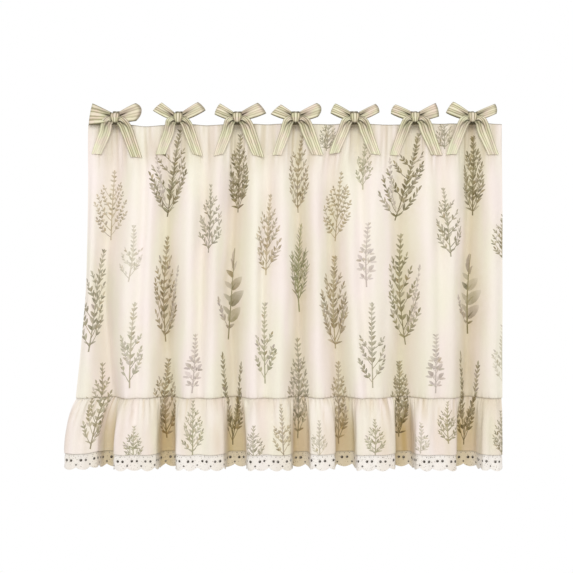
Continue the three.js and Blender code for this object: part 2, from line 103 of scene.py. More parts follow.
TIES = [
    # name   knot_x knot_z l_dx l_dz l_wide r_dx r_dz r_wide lt_dx lt_dz rt_dx rt_dz
    ("tie_1", -314, 8.0, -44,  8, 36, 44, 11, 31, -34, -64, 38, -69),
    ("tie_2", -204, 8.0, -41, 18, 23, 44, 18, 23, -33, -64, 35, -65),
    ("tie_3", -101, 8.5, -39, 14, 23, 46, 15, 25, -34, -66, 38, -68),
    ("tie_4",    1, 8.5, -39, 13, 25, 46, 15, 24, -33, -66, 39, -66),
    ("tie_5",  104, 8.0, -40, 14, 21, 42, 16, 21, -36, -62, 37, -64),
    ("tie_6",  209, 9.0, -40, 13, 22, 42, 12, 25, -35, -66, 40, -66),
    ("tie_7",  309, 9.0, -41, 16, 25, 43, 14, 23, -37, -66, 38, -66),
]
KNOT_W, KNOT_H, KNOT_D = 17.0, 19.0, 13.0
SEAM_D, RUFFLE_DROP, ALLOWANCE = 482.0, 98.0, 9.0
HEAD_HEM, SIDE_HEM = 56.0, 12.0
LACE_LAP, LACE_DROP, SCALLOPS = 7.0, 28.0, 51
ROD_SPACE = 19.0
PANEL_WIDE = 930.0            # the flat panel's width
BEHIND = 1.3 + 0.35 + 1.9     # the ruffle's seam allowance lies this far behind the panel
CLOTH = 0.36                  # half thickness of one layer as modelled here
HOLLOW = 8.0

# ---------------------------------------------------------------- small mathematics

def smooth(k):
    c = np.clip(k, 0.0, 1.0)
    return c * c * (3 - 2 * c)

def mix(a, b, k):
    return a + (b - a) * k

def noise1(x, scale, seed):
    tab = np.random.RandomState(seed).uniform(-1, 1, 2048)
    q = np.asarray(x, float) / scale + 517.3
    i = np.floor(q).astype(int)
    f = q - i
    f = f * f * (3 - 2 * f)
    return tab[i % 2048] * (1 - f) + tab[(i + 1) % 2048] * f

def noise2(x, y, sx, sy, seed):
    tab = np.random.RandomState(seed).uniform(-1, 1, (256, 256))
    qx = np.asarray(x, float) / sx + 71.7
    qy = np.asarray(y, float) / sy + 43.1
    i, j = np.floor(qx).astype(int), np.floor(qy).astype(int)
    fx, fy = qx - i, qy - j
    fx, fy = fx * fx * (3 - 2 * fx), fy * fy * (3 - 2 * fy)
    a, b = tab[i % 256, j % 256], tab[(i + 1) % 256, j % 256]
    c, d = tab[i % 256, (j + 1) % 256], tab[(i + 1) % 256, (j + 1) % 256]
    return (a * (1 - fx) + b * fx) * (1 - fy) + (c * (1 - fx) + d * fx) * fy

def along(values, t):
    """Smooth curve through values (its last axis), read at t, counted in list steps."""
    values = np.asarray(values, float)
    last = values.shape[-1] - 1
    first, final = 2 * values[..., :1] - values[..., 1:2], 2 * values[..., -1:] - values[..., -2:-1]
    v = np.concatenate([first, values, final], axis=-1)
    i = np.clip(np.floor(t).astype(int), 0, last - 1)
    k = t - i
    a, b, c, d = (v[..., i + j] for j in range(4))
    return b + 0.5 * k * (c - a + k * (2 * a - 5 * b + 4 * c - d + k * (3 * (b - c) + d - a)))

def at_height(table, z):
    """A smooth curve through each row of the table, at the heights z: (heights, rows)."""
    table, z = np.asarray(table, float), np.atleast_1d(np.asarray(z, float))
    n = len(LEVELS)
    slopes = np.stack([(table[:, min(i + 1, n - 1)] - table[:, max(i - 1, 0)])
                       / (LEVELS[min(i + 1, n - 1)] - LEVELS[max(i - 1, 0)]) for i in range(n)], 1)
    i = np.clip(np.searchsorted(-LEVELS, -z, side="right") - 1, 0, n - 2)
    h = LEVELS[i + 1] - LEVELS[i]
    k = np.clip((z - LEVELS[i]) / h, 0, 1.2)
    k2, k3 = k * k, k ** 3
    T = table.T
    S = slopes.T
    return ((2 * k3 - 3 * k2 + 1)[:, None] * T[i] + (k3 - 2 * k2 + k)[:, None] * h[:, None] * S[i]
            + (3 * k2 - 2 * k3)[:, None] * T[i + 1] + (k3 - k2)[:, None] * h[:, None] * S[i + 1])

FOLD_X = np.array([r[1:5] for r in PANEL_FOLDS], float)
FOLD_F = np.array([r[5:9] for r in PANEL_FOLDS], float)
FOLD_LAST = len(PANEL_FOLDS) - 1

def head_sag(x):
    ties = np.array([r[1] for r in TIES], float)
    edges = np.concatenate([[FOLD_X[0, 0]], ties, [FOLD_X[-1, 0]]])
    i = np.searchsorted(ties, x, side="left")
    k = np.clip((x - edges[i]) / (edges[i + 1] - edges[i]), 0, 1)
    rise = np.where(i == 0, smooth(1 - k), np.where(i == len(ties), smooth(k),
                    np.abs(np.sin(np.pi * k)) ** 1.5))
    return np.array(HEAD_SAG)[i] * rise

def panel_row(t, z):
    """Middle of the panel's cloth at fold positions t and one height z."""
    x = along(at_height(FOLD_X, z)[0], t)
    f = along(at_height(FOLD_F, z)[0], t)
    return np.stack([x, -f, z - head_sag(x) * smooth(1 + z / SAG_DEPTH)], -1)

def crease(x, z):
    """How far the valley lines are drawn in (backward) at x and a height z, beside their own
    wider swell: valleys are narrower than ridges."""
    deep = smooth(-z / 150.0)
    xc_all = at_height(FOLD_X, z)[0]
    out = np.zeros_like(np.asarray(x, float))
    for i, row in enumerate(PANEL_FOLDS):
        if row[0] in CREASED:
            k = CREASED[row[0]]
            xc = xc_all[i] + 2.0 * float(noise1(np.array([-z]), 90, 300 + i)[0])
            out = out - k * (1.0 + 5.0 * deep) * np.exp(-np.abs((x - xc) / 12.0) ** 1.9)
            out = out + k * (0.4 + 2.6 * deep) * np.exp(-((x - xc) / 25.0) ** 2)
    return out

def unit(v):
    return v / np.maximum(np.linalg.norm(v, axis=-1, keepdims=True), 1e-12)

def panel_row_normal(t, z):
    t = np.clip(t, 0.02, FOLD_LAST - 0.02)
    z = min(max(z, -481.0), -1.0)
    a = panel_row(t + 0.02, z) - panel_row(t - 0.02, z)
    b = panel_row(t, z + 1) - panel_row(t, z - 1)
    n = unit(np.cross(a, b))
    return np.where(n[:, 1:2] > 0, -n, n)

class Surface:
    """A cloth surface read from a fine table: u across and d down, in millimetres."""
    def __init__(self, P, u, d):
        self.P, self.u, self.d = P, u, d
        self.refresh()

    def refresh(self):
        du, dd = np.gradient(self.P, axis=1), np.gradient(self.P, axis=0)
        self.N = unit(np.cross(du, -dd))

    def push(self, amount):
        """Moves the cloth forward along its normal."""
        self.P = self.P + self.N * amount[..., None]
        self.refresh()

    def look(self, table, u, d):
        su = (len(self.u) - 1) * (np.asarray(u) - self.u[0]) / (self.u[-1] - self.u[0])
        sd = (len(self.d) - 1) * (np.asarray(d) - self.d[0]) / (self.d[-1] - self.d[0])
        i = np.clip(np.floor(su).astype(int), 0, len(self.u) - 2)
        j = np.clip(np.floor(sd).astype(int), 0, len(self.d) - 2)
        a, b = su - i, sd - j
        if table.ndim == 3:
            a, b = a[..., None], b[..., None]
        return ((table[j, i] * (1 - a) + table[j, i + 1] * a) * (1 - b)
                + (table[j + 1, i] * (1 - a) + table[j + 1, i + 1] * a) * b)

    def at(self, u, d):
        return self.look(self.P, u, d), unit(self.look(self.N, u, d))

# ---------------------------------------------------------------- the panel's surface

def fine_gathers(u, seed):
    """Uneven narrow folds, about -1 to 1, whose width wanders along the cloth."""
    w = u + 9.0 * noise1(u, 47, seed) + 3.5 * noise1(u, 19, seed + 1)
    g = (0.62 * np.sin(2 * np.pi * w / 15.5) + 0.38 * np.sin(2 * np.pi * w / 9.7 + 1.3)
         + 0.3 * np.sin(2 * np.pi * w / 31 + 0.4))
    return g * (0.75 + 0.35 * noise1(u, 38, seed + 2))

def panel_surface():
    d = np.linspace(0, SEAM_D, 483)
    u = np.linspace(0, PANEL_WIDE, 1861)
    t = np.linspace(0, FOLD_LAST, FOLD_LAST * 60 + 1)
    X = along(at_height(FOLD_X, -d), t)
    F = along(at_height(FOLD_F, -d), t)
    F = F + np.stack([crease(X[j], -d[j]) for j in range(len(d))])
    run = np.concatenate([np.zeros((len(d), 1)),
                          np.cumsum(np.hypot(np.diff(X, axis=1), np.diff(F, axis=1)), 1)], 1)
    run = run / run[:, -1:] * PANEL_WIDE
    x = np.stack([np.interp(u, run[j], X[j]) for j in range(len(d))])
    f = np.stack([np.interp(u, run[j], F[j]) for j in range(len(d))])
    z = -d[:, None] - head_sag(x.ravel()).reshape(x.shape) * smooth(1 - d / SAG_DEPTH)[:, None]
    s = Surface(np.stack([x, -f - HOLLOW, z], -1), u, d)
    U, D = np.meshgrid(u, d)
    head = 1.25 * (0.35 + 0.65 * smooth(D / 14.0)) * (1 - smooth((D - 30) / 75.0))
    push = head * fine_gathers(u, 11)[None, :]
    # long soft wrinkles, and a few slack ones that cross the folds at a slant
    push = push + 0.9 * noise2(U, D, 34, 210, 5) * smooth(D / 60)
    push = push + 0.45 * noise2(U + 0.25 * D, D, 17, 120, 6) * smooth(D / 60)
    push = push + 0.8 * noise2(U - 0.45 * D, D + 0.3 * U, 60, 95, 7) * smooth(D / 120)
    # the stitch lines draw the cloth in a little, with small puckers beside them
    pucker = np.sin(2 * np.pi * (U + 2.2 * noise1(u, 13, 21)[None, :]) / 6.4)
    near = np.exp(-((D - (HEAD_HEM - 2)) / 1.3) ** 2)
    push = push - 0.28 * near + 0.16 * pucker * np.exp(-((D - (HEAD_HEM - 2)) / 7.0) ** 2)
    up = SEAM_D - D
    push = push - 0.25 * np.exp(-((up - 4.0) / 1.1) ** 2)
    push = push + (0.28 * pucker + 0.35 * np.sin(2 * np.pi * (U + 3 * noise1(u, 23, 24)[None, :]) / 11.3)) * np.exp(-up / 12.0)
    # the lower edge is turned under
    push = push - 1.5 * smooth(1 - up / 2.2) ** 2
    # the top edge is a fold, rounded to the back
    push = push - 0.9 * smooth(1 - D / 1.6) ** 2
    s.push(push)
    return s

# ---------------------------------------------------------------- the ruffle's surface

def ruffle_stations():
    out = []
    for i, (_, sl, sr, hl, hr, crown, dip, back) in enumerate(RUFFLE_FOLDS):
        w, first, final = hr - hl, i == 0, i == len(RUFFLE_FOLDS) - 1
        out.append((sl, hl, crown - 9 if first else crown - 14))
        out.append((mix(sl, sr, 0.1), hl + 0.05 * w, crown - 4))
        out.append((mix(sl, sr, 0.3), hl + 0.26 * w, crown))
        out.append((mix(sl, sr, 0.5), hl + 0.5 * w, crown - dip))
        out.append((mix(sl, sr, 0.7), hl + 0.74 * w, crown))
        out.append((mix(sl, sr, 0.9), hl + 0.95 * w, crown - 4))
        out.append((sr, hr, crown - 6 if final else crown - 14))
        if not final:
            nsl, nhl = RUFFLE_FOLDS[i + 1][1], RUFFLE_FOLDS[i + 1][3]
            out.append((mix(sr, nsl, 0.22), mix(hr, nhl, 0.1), back + 5))
            out.append((mix(sr, nsl, 0.5), mix(hr, nhl, 0.5), back))
            out.append((mix(sr, nsl, 0.78), mix(hr, nhl, 0.9), back + 5))
    return np.array(out, float)

STATIONS = ruffle_stations()

def panel_fold_at(x, z):
    t = np.linspace(0, FOLD_LAST, 4001)
    return np.interp(x, np.maximum.accumulate(panel_row(t, z)[:, 0]), t)

def ruffle_base(s, v):
    """Middle of the ruffle's cloth at stations s: v is 0 at the seam and 1 at the hem."""
    t = np.clip(along(SEAM_T, s), 0, FOLD_LAST)
    z = -SEAM_D - min(v, 0) * RUFFLE_DROP
    top = panel_row(t, z) - panel_row_normal(t, z) * BEHIND
    top[:, 1] -= crease(top[:, 0], -SEAM_D)
    if v <= 0:
        top[:, 2] = z
        return top
    k = math.sin(math.pi / 2 * min(v, 1) ** 0.8)
    hx, hy = along(STATIONS[:, 1], s), -along(STATIONS[:, 2], s)
    travel = np.minimum(np.hypot(hx - top[:, 0], hy - top[:, 1]), 60)
    drop = np.sqrt(RUFFLE_DROP ** 2 - travel ** 2)
    return np.stack([mix(top[:, 0], hx, k), mix(top[:, 1], hy, k), -SEAM_D - 0.4 - drop * v], -1)

SEAM_T = panel_fold_at(STATIONS[:, 0], -SEAM_D)

def ruffle_surface():
    last = len(STATIONS) - 1
    fine = np.linspace(0, last, 6001)
    hem = ruffle_base(fine, 1.0)
    run = np.concatenate([[0], np.cumsum(np.hypot(np.diff(hem[:, 0]), np.diff(hem[:, 1])))])
    wide = run[-1]
    u = np.linspace(0, wide, int(round(wide / 0.5)) + 1)
    s = np.interp(u, run, fine)
    d = np.arange(-ALLOWANCE, RUFFLE_DROP + 33, 1.0)
    rows = []
    for k in d:
        if k <= RUFFLE_DROP:
            rows.append(ruffle_base(s, k / RUFFLE_DROP))
        else:
            a, b = ruffle_base(s, 1.0), ruffle_base(s, 0.93)
            rows.append(a + unit(a - b) * (k - RUFFLE_DROP))
    P = np.stack(rows)
    P[..., 1] -= HOLLOW
    surface = Surface(P, u, d)
    U, D = np.meshgrid(u, d)
    below = np.maximum(D, 0)
    # gathers: tiny at the seam, then wider ones that open out towards the hem
    w = U + 5.0 * noise1(u, 41, 61)[None, :] + 2.0 * noise1(u, 13, 62)[None, :]
    tiny = np.sin(2 * np.pi * w / 8.6) * (0.7 + 0.5 * noise1(u, 26, 63)[None, :])
    wider = (np.sin(2 * np.pi * (w + 6 * noise1(u, 70, 64)[None, :]) / 21.0)
             * (0.6 + 0.6 * noise1(u, 55, 65)[None, :]))
    push = 1.05 * tiny * np.exp(-(below / 15.0) ** 1.4) * (0.35 + 0.65 * smooth(below / 4))
    push = push + 1.9 * wider * smooth(below / 12) * np.exp(-(below / 62.0) ** 2)
    push = push + 1.3 * noise2(U, D, 30, 80, 66) * smooth(below / 20)
    push = push + 0.5 * noise2(U + 0.5 * D, D, 13, 45, 67) * smooth(below / 16)
    push = push * np.where(D < 0, 0.5, 1.0)
    # the hem's stitching draws it in a little
    push = push - 0.22 * np.exp(-((D - (RUFFLE_DROP - 4)) / 1.2) ** 2)
    surface.push(push)
    return surface

PANEL = panel_surface()
RUFFLE = ruffle_surface()
HEM_WIDE = float(RUFFLE.u[-1])

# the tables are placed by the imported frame: the panel's box fixes where the cloth hangs
_lo, _hi = (np.array(v) * 1000 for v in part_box("panel"))
_mine_lo, _mine_hi = PANEL.P.reshape(-1, 3).min(0), PANEL.P.reshape(-1, 3).max(0)
SHIFT = np.array([(_lo[0] + _hi[0]) / 2 - (FOLD_X.min() + FOLD_X.max()) / 2, 0.0, _lo[2] + SEAM_D])
for s in (PANEL, RUFFLE):
    s.P = s.P + SHIFT

def recess(P, u, sigma, full):
    """How far each point lies behind the cloth around it: 0 on the ridges, 1 deep in a fold."""
    half = int(3 * sigma / (u[1] - u[0]))
    kern = np.exp(-0.5 * (np.arange(-half, half + 1) * (u[1] - u[0]) / sigma) ** 2)
    kern /= kern.sum()
    out = np.empty(P.shape[:2])
    for j in range(len(P)):
        y = P[j, :, 1]
        pad = np.concatenate([2 * y[0] - y[half:0:-1], y, 2 * y[-1] - y[-2:-half - 2:-1]])
        out[j] = y - np.convolve(pad, kern, "valid")
    return np.clip(out / full, 0, 1)

PANEL_RECESS = recess(PANEL.P, PANEL.u, 34.0, 15.0)
RUFFLE_RECESS = recess(RUFFLE.P, RUFFLE.u, 42.0, 24.0)

def panel_front(x, z):
    """How far back (y) the panel's cloth lies at a sideways place and a height, nearest point."""
    j = np.clip(np.round(-z).astype(int), 0, len(PANEL.d) - 1)
    out = np.empty(len(x))
    for k, (xx, jj) in enumerate(zip(x, j)):
        row = PANEL.P[jj]
        near = np.abs(row[:, 0] - xx) < 1.2
        out[k] = row[near, 1].min() if near.any() else row[np.argmin(np.abs(row[:, 0] - xx)), 1]
    return out

def cloth_u(x, d):
    """The flat place across the panel that hangs at the sideways place x."""
    row = PANEL.P[int(np.clip(round(d), 0, len(PANEL.d) - 1))]
    return float(np.interp(x, np.maximum.accumulate(row[:, 0]), PANEL.u))

def ruffle_u(x, d):
    """The flat place across the ruffle, on a forward fold, that hangs at x."""
    row = RUFFLE.P[int(np.clip(round(d + ALLOWANCE), 0, len(RUFFLE.d) - 1))]
    near = np.abs(row[:, 0] - x)
    return float(RUFFLE.u[np.argmin(near + 0.02 * (row[:, 1] - row[:, 1].min()))])

# ---------------------------------------------------------------- the print: scattered herbs

def srgb(r, g, b):
    c = np.array([r, g, b], float) / 255.0
    return np.where(c <= 0.04045, c / 12.92, ((c + 0.055) / 1.055) ** 2.4)

INKS = {
    "dark":  [(112, 103, 68), (128, 118, 82), (100, 92, 60)],
    "brown": [(136, 118, 82), (120, 104, 70), (150, 132, 96)],
    "olive": [(128, 122, 86), (142, 135, 98), (114, 109, 74)],
    "sage":  [(146, 145, 112), (160, 159, 128), (134, 132, 98)],
    "tan":   [(158, 142, 106), (170, 154, 120), (146, 130, 94)],
    "pale":  [(178, 173, 148), (188, 183, 162), (166, 161, 134)],
    "lilac": [(156, 142, 138), (170, 157, 152), (146, 133, 126)],
    "grey":  [(130, 126, 102), (144, 139, 114), (118, 113, 88)],
    "green": [(120, 125, 80), (108, 113, 70), (138, 142, 98)],
}

class Print:
    """Leaves and stems as small outlines in cloth coordinates (u, height), each with its ink."""
    def __init__(self):
        self.outlines, self.facts, self.stains = [], [], []

    def add(self, outline, origin, direction, length, ink, strength, fade, rank):
        self.outlines.append(np.asarray(outline, float))
        self.facts.append((*origin, *direction, length, *srgb(*ink), strength, fade, rank))

def leaf_outline(x, y, angle, length, width, bend, blunt):
    # half of the outline from base to tip, then the other half back
    taus = (0.13, 0.36, 0.64, 0.88) if length > 14.5 else ((0.18, 0.50, 0.83) if length > 9.5 else (0.30, 0.74))
    half = [width / 2 * math.sin(math.pi * t ** blunt) ** 0.75 for t in taus]
    stalk = 0.17 * width
    pts = [(-stalk, 0), (stalk, 0)] + [(h, t * length) for h, t in zip(half, taus)] + [(0, length)]
    pts += [(-h, t * length) for h, t in reversed(list(zip(half, taus)))]
    c, s = math.cos(angle), math.sin(angle)
    out = []
    for px, py in pts:
        px = px + bend * length * math.sin(math.pi * py / length)
        out.append((x + px * c + py * s, y - px * s + py * c))
    return out

class Sprig:
    """One herb, drawn upward from its foot, then set on the cloth at its own width."""
    def __init__(self, seed, height, wide, inks, strength):
        self.rng = np.random.RandomState(seed)
        self.h, self.wide, self.inks, self.strength, self.items = height, wide, inks, strength, []
        self.lean, self.bow, self.stain = 0.0, self.rng.uniform(-0.03, 0.03) * height, None
        self.size = min(max((height / 160.0) ** 0.5, 0.72), 1.12)

    def ink(self, name=None):
        table = INKS[name or self.inks]
        base = np.array(table[self.rng.randint(len(table))], float)
        other = np.array(INKS[("lilac", "tan", "sage", "grey", "brown")[self.rng.randint(5)]][0], float)
        base = base + (other - base) * 0.85 * self.rng.uniform() ** 2.2
        return tuple(np.clip(base * self.rng.uniform(0.9, 1.14) + self.rng.uniform(-5, 5), 30, 235))

    def axis(self, k):
        return np.array([self.bow * math.sin(math.pi * k) + self.lean * k, self.h * k])

    def leaf(self, x, y, angle, length, width, ink=None, strength=1.0, blunt=0.85, fade=0.30):
        r = self.rng
        bend = r.uniform(0.03, 0.12) * (-1 if angle > 0 else 1)
        self.items.append((leaf_outline(x, y, angle, length, width, bend, blunt), (x, y),
                           (math.sin(angle), math.cos(angle)), length, self.ink(ink),
                           self.strength * strength * (0.46 + 0.66 * r.uniform() ** 0.7)
                           * (1.14 - 0.24 * min(max(y / self.h, 0.0), 1.0)), fade, 1))

    def stem(self, pts, w0, w1, ink=None, strength=0.9):
        pts = np.array(pts, float)
        d = np.gradient(pts, axis=0)
        n = np.stack([d[:, 1], -d[:, 0]], 1) / np.maximum(np.hypot(d[:, 0], d[:, 1]), 1e-9)[:, None]
        w = np.linspace(w0, w1, len(pts))[:, None] / 2
        outline = np.concatenate([pts + n * w, (pts - n * w)[::-1]])
        a = pts[-1] - pts[0]
        length = float(np.hypot(*a))
        self.items.append((outline, tuple(pts[0]), tuple(a / max(length, 1e-9)), length,
                           self.ink(ink), self.strength * strength, 0.2, 2))

    def wash(self, strength):
        """The faint stain of colour that a watercolour leaves round its leaves."""
        self.stain = (self.lean * 0.45, self.h * 0.46, self.wide / 2 + 5, self.h * 0.56, strength)

    def pair(self, p, base, length, width, spread, ink=None, strength=1.0, blunt=0.85, keep=1.0, fade=0.30):
        r = self.rng
        for side in (-1, 1):
            if r.uniform() <= keep:
                self.leaf(p[0], p[1] + r.uniform(-0.8, 0.8), base + side * spread * r.uniform(0.8, 1.2),
                          length * r.uniform(0.82, 1.14), width * r.uniform(0.82, 1.15), ink, strength, blunt, fade)

    def shoot(self, start, angle, length, gap, size, ratio, ink=None, strength=1.0, spread=0.52, blunt=0.85,
              curve=0.25, first=0.22):
        """A side shoot with its own paired leaves, curving up as it grows."""
        r, n = self.rng, max(4, int(length / 9) + 2)
        pts, p, a = [np.array(start, float)], np.array(start, float), angle
        for _ in range(n):
            p = p + np.array([math.sin(a), math.cos(a)]) * length / n
            a = a * (1 - curve / n * 2)
            pts.append(p.copy())
        self.stem(pts, 1.25, 0.75, ink, strength * 0.95)
        pts = np.array(pts)
        tip = pts[-1]
        self.leaf(tip[0], tip[1] - 1.0, math.atan2(*(pts[-1] - pts[-2])), size * 0.9,
                  size * 0.9 * ratio, ink, strength, blunt)
        k = length - gap * 0.8
        while k > first * length:
            f = k / length * n
            i = min(int(f), n - 1)
            q = pts[i] + (pts[i + 1] - pts[i]) * (f - i)
            d = pts[i + 1] - pts[i]
            grown = size * (1.18 - 0.35 * k / length)
            self.pair(q, math.atan2(d[0], d[1]), grown, grown * ratio, spread, ink, strength, blunt, 0.92)
            k -= gap * r.uniform(0.85, 1.2)

    def spire(self, top, low, gap_top, gap_low, len_top, len_low, ratio, ang_top, ang_low, bud=True, ink=None,
              blunt=0.85, keep=1.0, strength=1.0):
        """Paired leaves down the stem from near its tip, larger and wider apart lower down."""
        r, z = self.rng, self.size
        y = top * self.h
        while y > low * self.h:
            q = (top * self.h - y) / max((top - low) * self.h, 1e-6)
            length = mix(len_top, len_low, q ** 0.8) * z
            p = self.axis(y / self.h)
            self.pair(p, self.lean / self.h * 0.8, length, length * ratio, mix(ang_top, ang_low, q), ink, strength, blunt, keep)
            if bud and q < 0.75:
                self.leaf(p[0], p[1] + 0.5, r.uniform(-0.12, 0.12), length * 0.62, length * ratio * 0.8, ink, strength * 0.9, blunt)
            y -= mix(gap_top, gap_low, q) * z * r.uniform(0.88, 1.12)

    def shoots(self, table, gap, size, ratio, **more):
        """Side shoots that reach out to the sprig's own width: (start, side, share of its height)."""
        r, z = self.rng, self.size
        for k, side, share in table:
            length = self.h * share * r.uniform(0.92, 1.08)
            reach = self.wide / 2 * np.interp(k + 0.85 * share, [0, 0.15, 0.35, 0.52, 0.66, 0.80, 0.95],
                                              [0.45, 0.85, 1.0, 0.95, 0.78, 0.50, 0.2]) * r.uniform(0.88, 1.06)
            angle = math.asin(min(0.80, 1.25 * max(reach - 3.0, 3.0) / length))
            self.shoot(self.axis(k), side * angle, length, gap * z, size * z * (1.05 - 0.3 * k), ratio, **more)

    def set_on(self, pr, u, foot, wide):
        xs = np.concatenate([np.array(i[0])[:, 0] for i in self.items if i[-1]])
        lo, hi = np.percentile(xs, 1.5), np.percentile(xs, 98.5)
        mid = (lo + hi) / 2
        k = min(max(wide / max(hi - lo, 1e-6), 0.75), 1.45)
        for outline, o, d, length, ink, strength, fade, rank in self.items:
            outline = np.array(outline)
            outline = np.stack([u + (outline[:, 0] - mid) * k, foot + outline[:, 1]], 1)
            dx, dy = d[0] * k, d[1]
            n = math.hypot(dx, dy)
            pr.add(outline, (u + (o[0] - mid) * k, foot + o[1]), (dx / n, dy / n), length * n, ink,
                   min(strength, 1.0), fade, rank)
        if self.stain:
            x, y, w, h, amount = self.stain
            pr.stains.append((u + (x - mid) * k, foot + y, w * k, h, amount))

def grow(kind, seed, height, wide, inks, strength, lean, companion):
    """A herb of one of a few habits, as drawn in a watercolour hand."""
    s = Sprig(seed, height, wide, inks, strength)
    s.lean = lean
    r, z = s.rng, s.size
    s.stem([s.axis(k) for k in np.linspace(0, 0.30 if kind == "two" else 0.97, 9)], 2.0, 1.0, strength=0.98)
    s.wash(1.0 if inks in ("dark", "brown", "olive", "green") else (0.25 if inks in ("lilac", "pale") else 0.6))
    tip = s.axis(0.965)
    if kind not in ("broad", "two"):
        s.leaf(tip[0], tip[1] - 2.5, lean / height * 0.8, 7.5 * z, 3.2 * z)
    if kind == "herb":
        s.spire(0.945, 0.20, 7.6, 13.0, 8.2, 13.5, 0.37, 0.62, 0.60)
        s.shoots([(0.05, -1, 0.26), (0.06, 1, 0.28), (0.13, 1, 0.32), (0.16, -1, 0.32), (0.29, -1, 0.28), (0.32, 1, 0.26),
                  (0.45, 1, 0.22), (0.48, -1, 0.21), (0.61, -1, 0.16), (0.64, 1, 0.15)],
                 9.0, 10.2, 0.38)
        s.pair(s.axis(0.07), 0, 11 * z, 3.6 * z, 0.95)
    elif kind == "dense":
        s.spire(0.95, 0.16, 6.8, 10.4, 8.8, 14.0, 0.37, 0.62, 0.56)
        s.shoots([(0.04, -1, 0.34), (0.04, 1, 0.36), (0.08, -1, 0.44), (0.09, 1, 0.44), (0.26, -1, 0.34), (0.29, 1, 0.32),
                  (0.44, 1, 0.26), (0.47, -1, 0.25), (0.60, -1, 0.17), (0.62, 1, 0.16)],
                 8.4, 10.8, 0.37, curve=0.3)
        s.pair(s.axis(0.05), 0, 15 * z, 4.0 * z, 1.05)
    elif kind == "airy":
        s.spire(0.94, 0.30, 8.4, 11.0, 6.8, 8.0, 0.55, 0.75, 0.80, blunt=0.95)
        s.shoots([(0.04, -1, 0.30), (0.07, 1, 0.34), (0.13, -1, 0.40), (0.18, 1, 0.42), (0.27, -1, 0.38), (0.31, 1, 0.38),
                  (0.43, -1, 0.30), (0.47, 1, 0.28), (0.58, -1, 0.20), (0.61, 1, 0.20)],
                 7.6, 7.6, 0.54, spread=0.80, blunt=0.95, curve=0.3)
    elif kind == "needle":
        s.spire(0.95, 0.50, 6.4, 7.6, 9.0, 17.0, 0.17, 0.44, 0.58, bud=False)
        s.shoots([(0.14, -1, 0.34), (0.15, 1, 0.36), (0.27, -1, 0.34), (0.29, 1, 0.34), (0.42, -1, 0.24), (0.44, 1, 0.24)],
                 7.8, 13.0, 0.18, spread=0.46, curve=0.45, first=0.1)
        s.spire(0.50, 0.12, 7.6, 9.5, 17.0, 12.0, 0.16, 0.52, 0.50, bud=False)
    elif kind == "broad":
        top = s.axis(0.78)
        s.leaf(top[0], top[1], 0.02, height * 0.20, 4.6, ink="lilac")
        s.leaf(top[0] - 1, top[1] - 4, -0.22, height * 0.11, 3.6, ink="lilac")
        s.leaf(top[0] + 1, top[1] - 8, 0.26, height * 0.11, 3.8, ink="lilac")
        for k, big in ((0.19, 1.0), (0.36, 1.1), (0.53, 0.9)):
            p = s.axis(k)
            s.leaf(p[0], p[1], 0.62 * r.uniform(0.9, 1.1), 31 * big * z, 16.5 * big * z, strength=0.80, blunt=0.78, fade=0.78)
            s.leaf(p[0], p[1], 0.57, 17 * big * z, 2.0, strength=1.1, fade=0.5)
        for k in (0.26, 0.40, 0.54, 0.66):
            p = s.axis(k)
            s.leaf(p[0], p[1], -0.62 * r.uniform(0.85, 1.15), 20 * (1.15 - k * 0.5) * z, 7.0 * z, ink="grey", fade=0.5)
        s.shoots([(0.12, -1, 0.34)], 6.5, 9.0, 0.46, ink="lilac", strength=0.9, curve=0.4)
        s.pair(s.axis(0.12), 0, 10 * z, 4.6 * z, 0.8, fade=0.5)
    elif kind == "spike":
        s.spire(0.94, 0.24, 8.0, 11.5, 8.2, 12.0, 0.42, 0.60, 0.60)
        s.shoots([(0.06, -1, 0.28), (0.09, 1, 0.30), (0.22, 1, 0.26), (0.26, -1, 0.26), (0.40, -1, 0.20), (0.44, 1, 0.18)],
                 8.4, 9.4, 0.45)
    elif kind == "round":
        s.spire(0.94, 0.50, 8.0, 11.0, 8.0, 11.5, 0.50, 0.72, 0.66, blunt=0.95)
        for k, side, big in ((0.50, -1, 0.75), (0.47, 1, 0.8), (0.36, -1, 0.95), (0.33, 1, 1.0), (0.21, -1, 1.0), (0.18, 1, 1.0),
                             (0.10, -1, 0.7), (0.09, 1, 0.7)):
            p = s.axis(k)
            a = side * 0.62 * r.uniform(0.85, 1.15)
            q = p + 11.0 * big * z * np.array([math.sin(a), math.cos(a)])
            s.stem([p, (p + q) / 2, q], 1.0, 0.8)
            s.leaf(q[0], q[1], a * 0.8, 14.0 * big * z, 7.4 * big * z, blunt=0.9, fade=0.4)
            s.leaf(q[0], q[1] - 2, a + side * 0.75, 10.5 * big * z, 5.8 * big * z, blunt=0.95, fade=0.4)
            s.leaf(p[0] + (q[0] - p[0]) * 0.6, p[1] + (q[1] - p[1]) * 0.6, a - side * 0.75, 8.5 * big * z, 4.4 * big * z, blunt=0.95, fade=0.4)
        s.pair(s.axis(0.40), 0, 9 * z, 3.8 * z, 0.6)
    elif kind == "two":
        s.shoot(s.axis(0.10), -0.17, height * 0.87, 8.0, 11.0, 0.38, first=0.06, curve=0.35)
        s.shoot(s.axis(0.07), 0.21, height * 0.80, 8.0, 11.0, 0.38, first=0.06, curve=0.35)
        s.shoots([(0.04, -1, 0.34), (0.05, 1, 0.34), (0.16, -1, 0.36), (0.19, 1, 0.34)], 8.4, 10.0, 0.38)
    if companion:
        side = -1 if companion == "left" else 1
        s.shoot(s.axis(0.08), side * 0.36, height * 0.62, 8.4, 8.2, 0.52, ink="lilac", strength=0.62, curve=0.62, first=0.3)
        s.shoot(s.axis(0.12), side * 0.66, height * 0.26, 8.0, 7.2, 0.52, ink="lilac", strength=0.55, curve=0.4)
    return s

